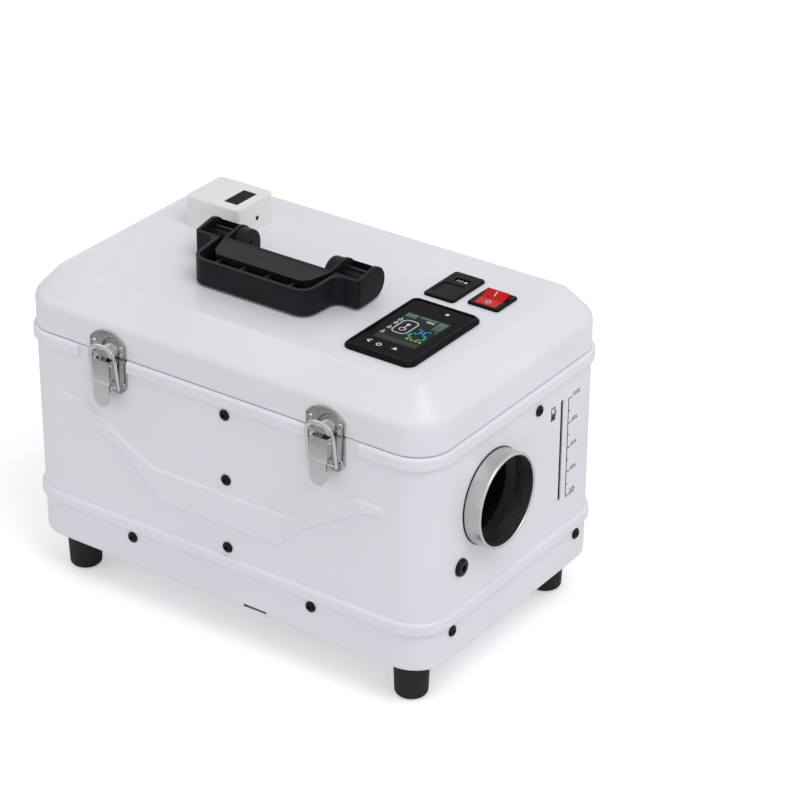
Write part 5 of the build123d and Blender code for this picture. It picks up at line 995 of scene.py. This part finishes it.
class HEATER_OT_display(Operator):
    """Light the controller's screen and print its touch marks"""
    bl_idname = "heater.display"
    bl_label = "Display"

    def execute(self, context):
        low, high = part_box("controller_display")
        self.film = context.scene.heater_sizes.film
        self.corner = Vector((low.x, low.y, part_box("controller_glass")[1].z))
        wide, tall = (high.x - low.x) / MM, (high.y - low.y) / MM
        ends = (low.y, high.y)
        # Each layer lies on the one before: the dark field, the panels and the signs on both.
        self.lit("screen_field", "lit_field", ("#181D1D", "#0B1113", "#141D1F"), 0.15, ends,
                 plates((0, 0, wide, tall)), 0.3)
        self.lit("screen_panels", "lit_panels", ("#2F3634", "#26302F", "#5F786D"), 0.2, ends,
                 plates((1.0, 42.5, 11, 48.5), (31, 34, 39, 48.5), (1, 1, 39, 7.5), (13, 46, 29, 48.5)), 0.6)
        # Thermometer in its frame, four round signs to its left and three bars above the digits.
        icons = rounded_loop(5.8, 15.6, 19.4, 38.0, 4.5, 1.0)
        icons += ring(12.6, 23, 3.0, 2.2) + plates((12.1, 24, 13.1, 30)) + ring(12.6, 31.5, 1.7, 0, 16)
        for row in (10.5, 19.5, 28.5, 35.0):
            icons += ring(2.4, row, 1.7, 0.9, 12) + plates((1.9, row + 1.4, 2.9, row + 3.6))
        icons += plates((21.5, 42, 23.2, 44.6), (24, 42, 25.7, 44.6), (26.5, 42, 28.2, 44.6))
        self.lit("screen_icons", "lit_white", ("#B4BEA8", "#C2C8CC", "#BCC4CA"), 0.3, ends, icons)
        # The temperature: 25 and its degree sign.
        digits = [quad for bars, u in (("abged", 22.8), ("afgcd", 31.0))
                  for quad in seven_segments(bars, u, 14.6, 5.0, 15.0, 1.5)]
        self.lit("screen_digits", "lit_blue", ("#2FA87A", "#2A8FB4", "#2F58BE"), 0.5,
                 (low.y + 0.012, high.y - 0.012), digits + ring(37.6, 31.6, 1.0, 0.4, 12))
        marks = plates((23.5, 10.5, 26, 12.6), (27.5, 10.5, 30, 12.6), (31.5, 10.5, 34, 12.6))
        self.lit("screen_marks", "lit_green", ("#A87E34", "#8AA83E", "#46A86E"), 0.5,
                 (low.y + 0.008, low.y + 0.016), marks + ring(36.6, 11.5, 1.3, 0, 14))
        # Touch marks: back, power and up below the screen, and the eye above it.
        keys = stroke([(4.4, -5.0), (1.4, -7.2), (4.4, -9.4)], 1.2) + ring(12.8, -8.6, 2.4, 1.5, 18)
        keys += [[(24.6, -9.0), (29.4, -9.0), (27.0, -5.2)]] + ring(27.5, 62.5, 1.6, 0, 18)
        self.lay("touch_marks", screen_ink("white_screen_ink", linear("#E4E6E8")), keys)
        return DONE

    def lit(self, name, ink, hex_codes, glow, ends, shapes, lift=1.0):
        """One lit layer of the screen."""
        self.lay(name, lit_segments(ink, hex_codes, glow, *ends), shapes, lift)

    def lay(self, name, ink, shapes, lift=1.0):
        """Print shapes on the glass, measured from the display's corner."""
        made = lay_on(flat_mesh(shapes), "controller_glass", self.corner, X, Y, self.film * lift)
        piece(name, as_mesh(made, ink.name), "lid", "display")


class HEATER_OT_switch_marks(Operator):
    """Print the on and off signs on the rocker and fit the contacts of the port"""
    bl_idname = "heater.switch_marks"
    bl_label = "Switch and port marks"

    def execute(self, context):
        white = screen_ink("switch_white_ink", linear("#F0D8D4"))
        made = flat_mesh(ring(0, -5.4, 2.5, 1.8, 24) + plates((-0.4, 3.0, 0.4, 8.0)))
        lay_on(made, "rocker", top_middle("rocker"), X, Y, context.scene.heater_sizes.film)
        piece("rocker_marks", as_mesh(made, white.name), "rocker_paddle", "red_plastic")
        contacts = bmesh.new()
        middle = top_middle("usb_plate")
        for u, length, width in ((-4.4, 0.9, 4.2), (-2.2, 0.9, 4.2), (0.0, 0.9, 4.2), (3.4, 2.6, 3.0)):
            rib = rounded_slab(length * MM, width * MM, 13.4 * MM, 0.3 * MM, 0.2 * MM)
            # The ribs stand in the port's mouth, 14.4 mm deep and 11 mm behind the plate's middle.
            merge(contacts, moved(rib, middle + Vector((u, 11.0, -14.4)) * MM))
        piece("port_contacts", as_mesh(contacts, "nickel_plated_steel"), "lid", "nickel")
        return DONE


# ---------------------------------------------------------------- operator: stage
def studio_world(ambient):
    """White background for the eye and for reflections, plainer light for the object."""
    world = bpy.data.worlds.new("studio")
    world.use_nodes = True
    tree = world.node_tree
    tree.nodes.clear()
    path = add(tree, "ShaderNodeLightPath").outputs
    seen = calculate(tree, "MAXIMUM", path["Is Camera Ray"], path["Is Glossy Ray"])
    seen = calculate(tree, "MAXIMUM", seen, path["Is Transmission Ray"])
    strength = add(tree, "ShaderNodeMapRange", {"Value": seen, "To Min": ambient, "To Max": 1.0})
    sky = add(tree, "ShaderNodeBackground", {"Color": (1, 1, 1, 1), "Strength": strength.outputs["Result"]})
    add(tree, "ShaderNodeOutputWorld", {"Surface": sky.outputs["Background"]})
    return world


def matt_paper(colour):
    """Seamless paper: a matt sheet with a felt in patches of 0.4 m, lifted to white for the eye alone."""
    paper = Finish("matt_paper", colour, tint=((400, 2.0), (0.3, 0.99), (0.7, 1.0)), Roughness=0.9,
                   Specular_IOR_Level=0.1, Emission_Color=(1, 1, 1, 1))
    seen = add(paper.tree, "ShaderNodeLightPath").outputs["Is Camera Ray"]
    paper.feed("Emission Strength", calculate(paper.tree, "MULTIPLY", seen, 0.36))
    return paper.material


def grey_card():
    """Grey cardboard, whose fibre clouds keep what the metal mirrors from being one flat grey."""
    card = Finish("grey_card", Roughness=0.9)
    card.feed("Base Color", ramp(card.tree, card.grain(30), (0.3, 0.16), (0.7, 0.24)))
    return card.material


def sheet(name, cells, half, finish, width=1.0, depth=1.0, place=(0, 0, 0)):
    """Level grid of squares."""
    made = bmesh.new()
    bmesh.ops.create_grid(made, x_segments=cells, y_segments=cells, size=half)
    bmesh.ops.scale(made, vec=(width, depth, 1), verts=made.verts)
    mesh = as_mesh(moved(made, place), finish.name)
    mesh.name = name
    return linked(name, mesh)


def softbox(name, place, target, width, height, power):
    """Rectangular lamp aimed at a point."""
    lamp = bpy.data.lights.new(name, "AREA")
    lamp.shape = "RECTANGLE"
    lamp.size, lamp.size_y, lamp.energy = width, height, power
    holder = linked(name, lamp)
    holder.location = place
    holder.rotation_euler = (Vector(target) - Vector(place)).to_track_quat("-Z", "Y").to_euler()


class HEATER_OT_stage(Operator):
    """Pale floor, soft lamps and the camera at the photograph's angle"""
    bl_idname = "heater.stage"
    bl_label = "Stage"

    def execute(self, context):
        scene = context.scene
        floor = sheet("floor", 8, 12, matt_paper(scene.heater_colours.floor))
        # Only reflections show the card: bright metal needs something darker to mirror.
        card = sheet("reflection_card", 2, 0.5, grey_card(), 1.0, 0.34, (-0.25, -0.62, 2 * MM))
        card.visible_camera = card.visible_diffuse = card.visible_shadow = card.visible_transmission = False
        scene.world = studio_world(0.6)
        softbox("key", (1.6, -0.6, 2.6), (0, 0, 0.15), 1.6, 1.6, 28)
        softbox("fill", (-1.8, -2.2, 1.4), (0, 0, 0.12), 1.8, 1.2, 6)
        scene.camera = self.camera(scene.heater_sizes)
        scene.view_settings.view_transform = "Standard"
        return DONE

    def camera(self, sizes):
        """Camera that looks level across its picture, shifted to where the photograph has its axis."""
        az, el = sizes.azimuth, sizes.elevation
        ahead = Vector((-math.sin(az) * math.cos(el), math.cos(az) * math.cos(el), -math.sin(el)))
        right = Vector((math.cos(az), math.sin(az), 0))
        up = right.cross(ahead)
        camera = bpy.data.cameras.new("camera")
        camera.lens, camera.sensor_width = sizes.lens, 36
        camera.shift_x = (PICTURE / 2 - AXIS_AT) / PICTURE
        camera.clip_end = 60
        holder = linked("camera", camera)
        holder.matrix_world = Matrix((right, up, -ahead)).transposed().to_4x4()
        holder.location = CASE_MIDDLE - ahead * sizes.distance + right * SHIFT_RIGHT + up * SHIFT_UP
        return holder


class HEATER_PT_sidebar(Panel):
    """Steps, colours and sizes of the heater"""
    bl_idname = "HEATER_PT_sidebar"
    bl_label = "Diesel air heater"
    bl_space_type = "VIEW_3D"
    bl_region_type = "UI"
    bl_category = "Heater"

    def draw(self, context):
        for step in STEPS:
            self.layout.operator(step.bl_idname)
        for group in (context.scene.heater_colours, context.scene.heater_sizes):
            box = self.layout.box()
            for name in group.__annotations__:
                box.prop(group, name)


STEPS = (HEATER_OT_case, HEATER_OT_latches, HEATER_OT_handle, HEATER_OT_controls, HEATER_OT_air_and_fuel,
         HEATER_OT_case_screws, HEATER_OT_latch_forms, HEATER_OT_monitor, HEATER_OT_collar_seal,
         HEATER_OT_fuel_scale, HEATER_OT_display, HEATER_OT_switch_marks, HEATER_OT_stage)


def register():
    for kind in (HeaterColours, HeaterSizes, *STEPS, HEATER_PT_sidebar):
        bpy.utils.register_class(kind)
    bpy.types.Scene.heater_colours = PointerProperty(type=HeaterColours)
    bpy.types.Scene.heater_sizes = PointerProperty(type=HeaterSizes)


def unregister():
    del bpy.types.Scene.heater_sizes
    del bpy.types.Scene.heater_colours
    for kind in (HEATER_PT_sidebar, *reversed(STEPS), HeaterSizes, HeaterColours):
        bpy.utils.unregister_class(kind)


def main():
    register()
    for step in STEPS:
        group, name = step.bl_idname.split(".")
        getattr(getattr(bpy.ops, group), name)()


if __name__ == "__main__":
    main()
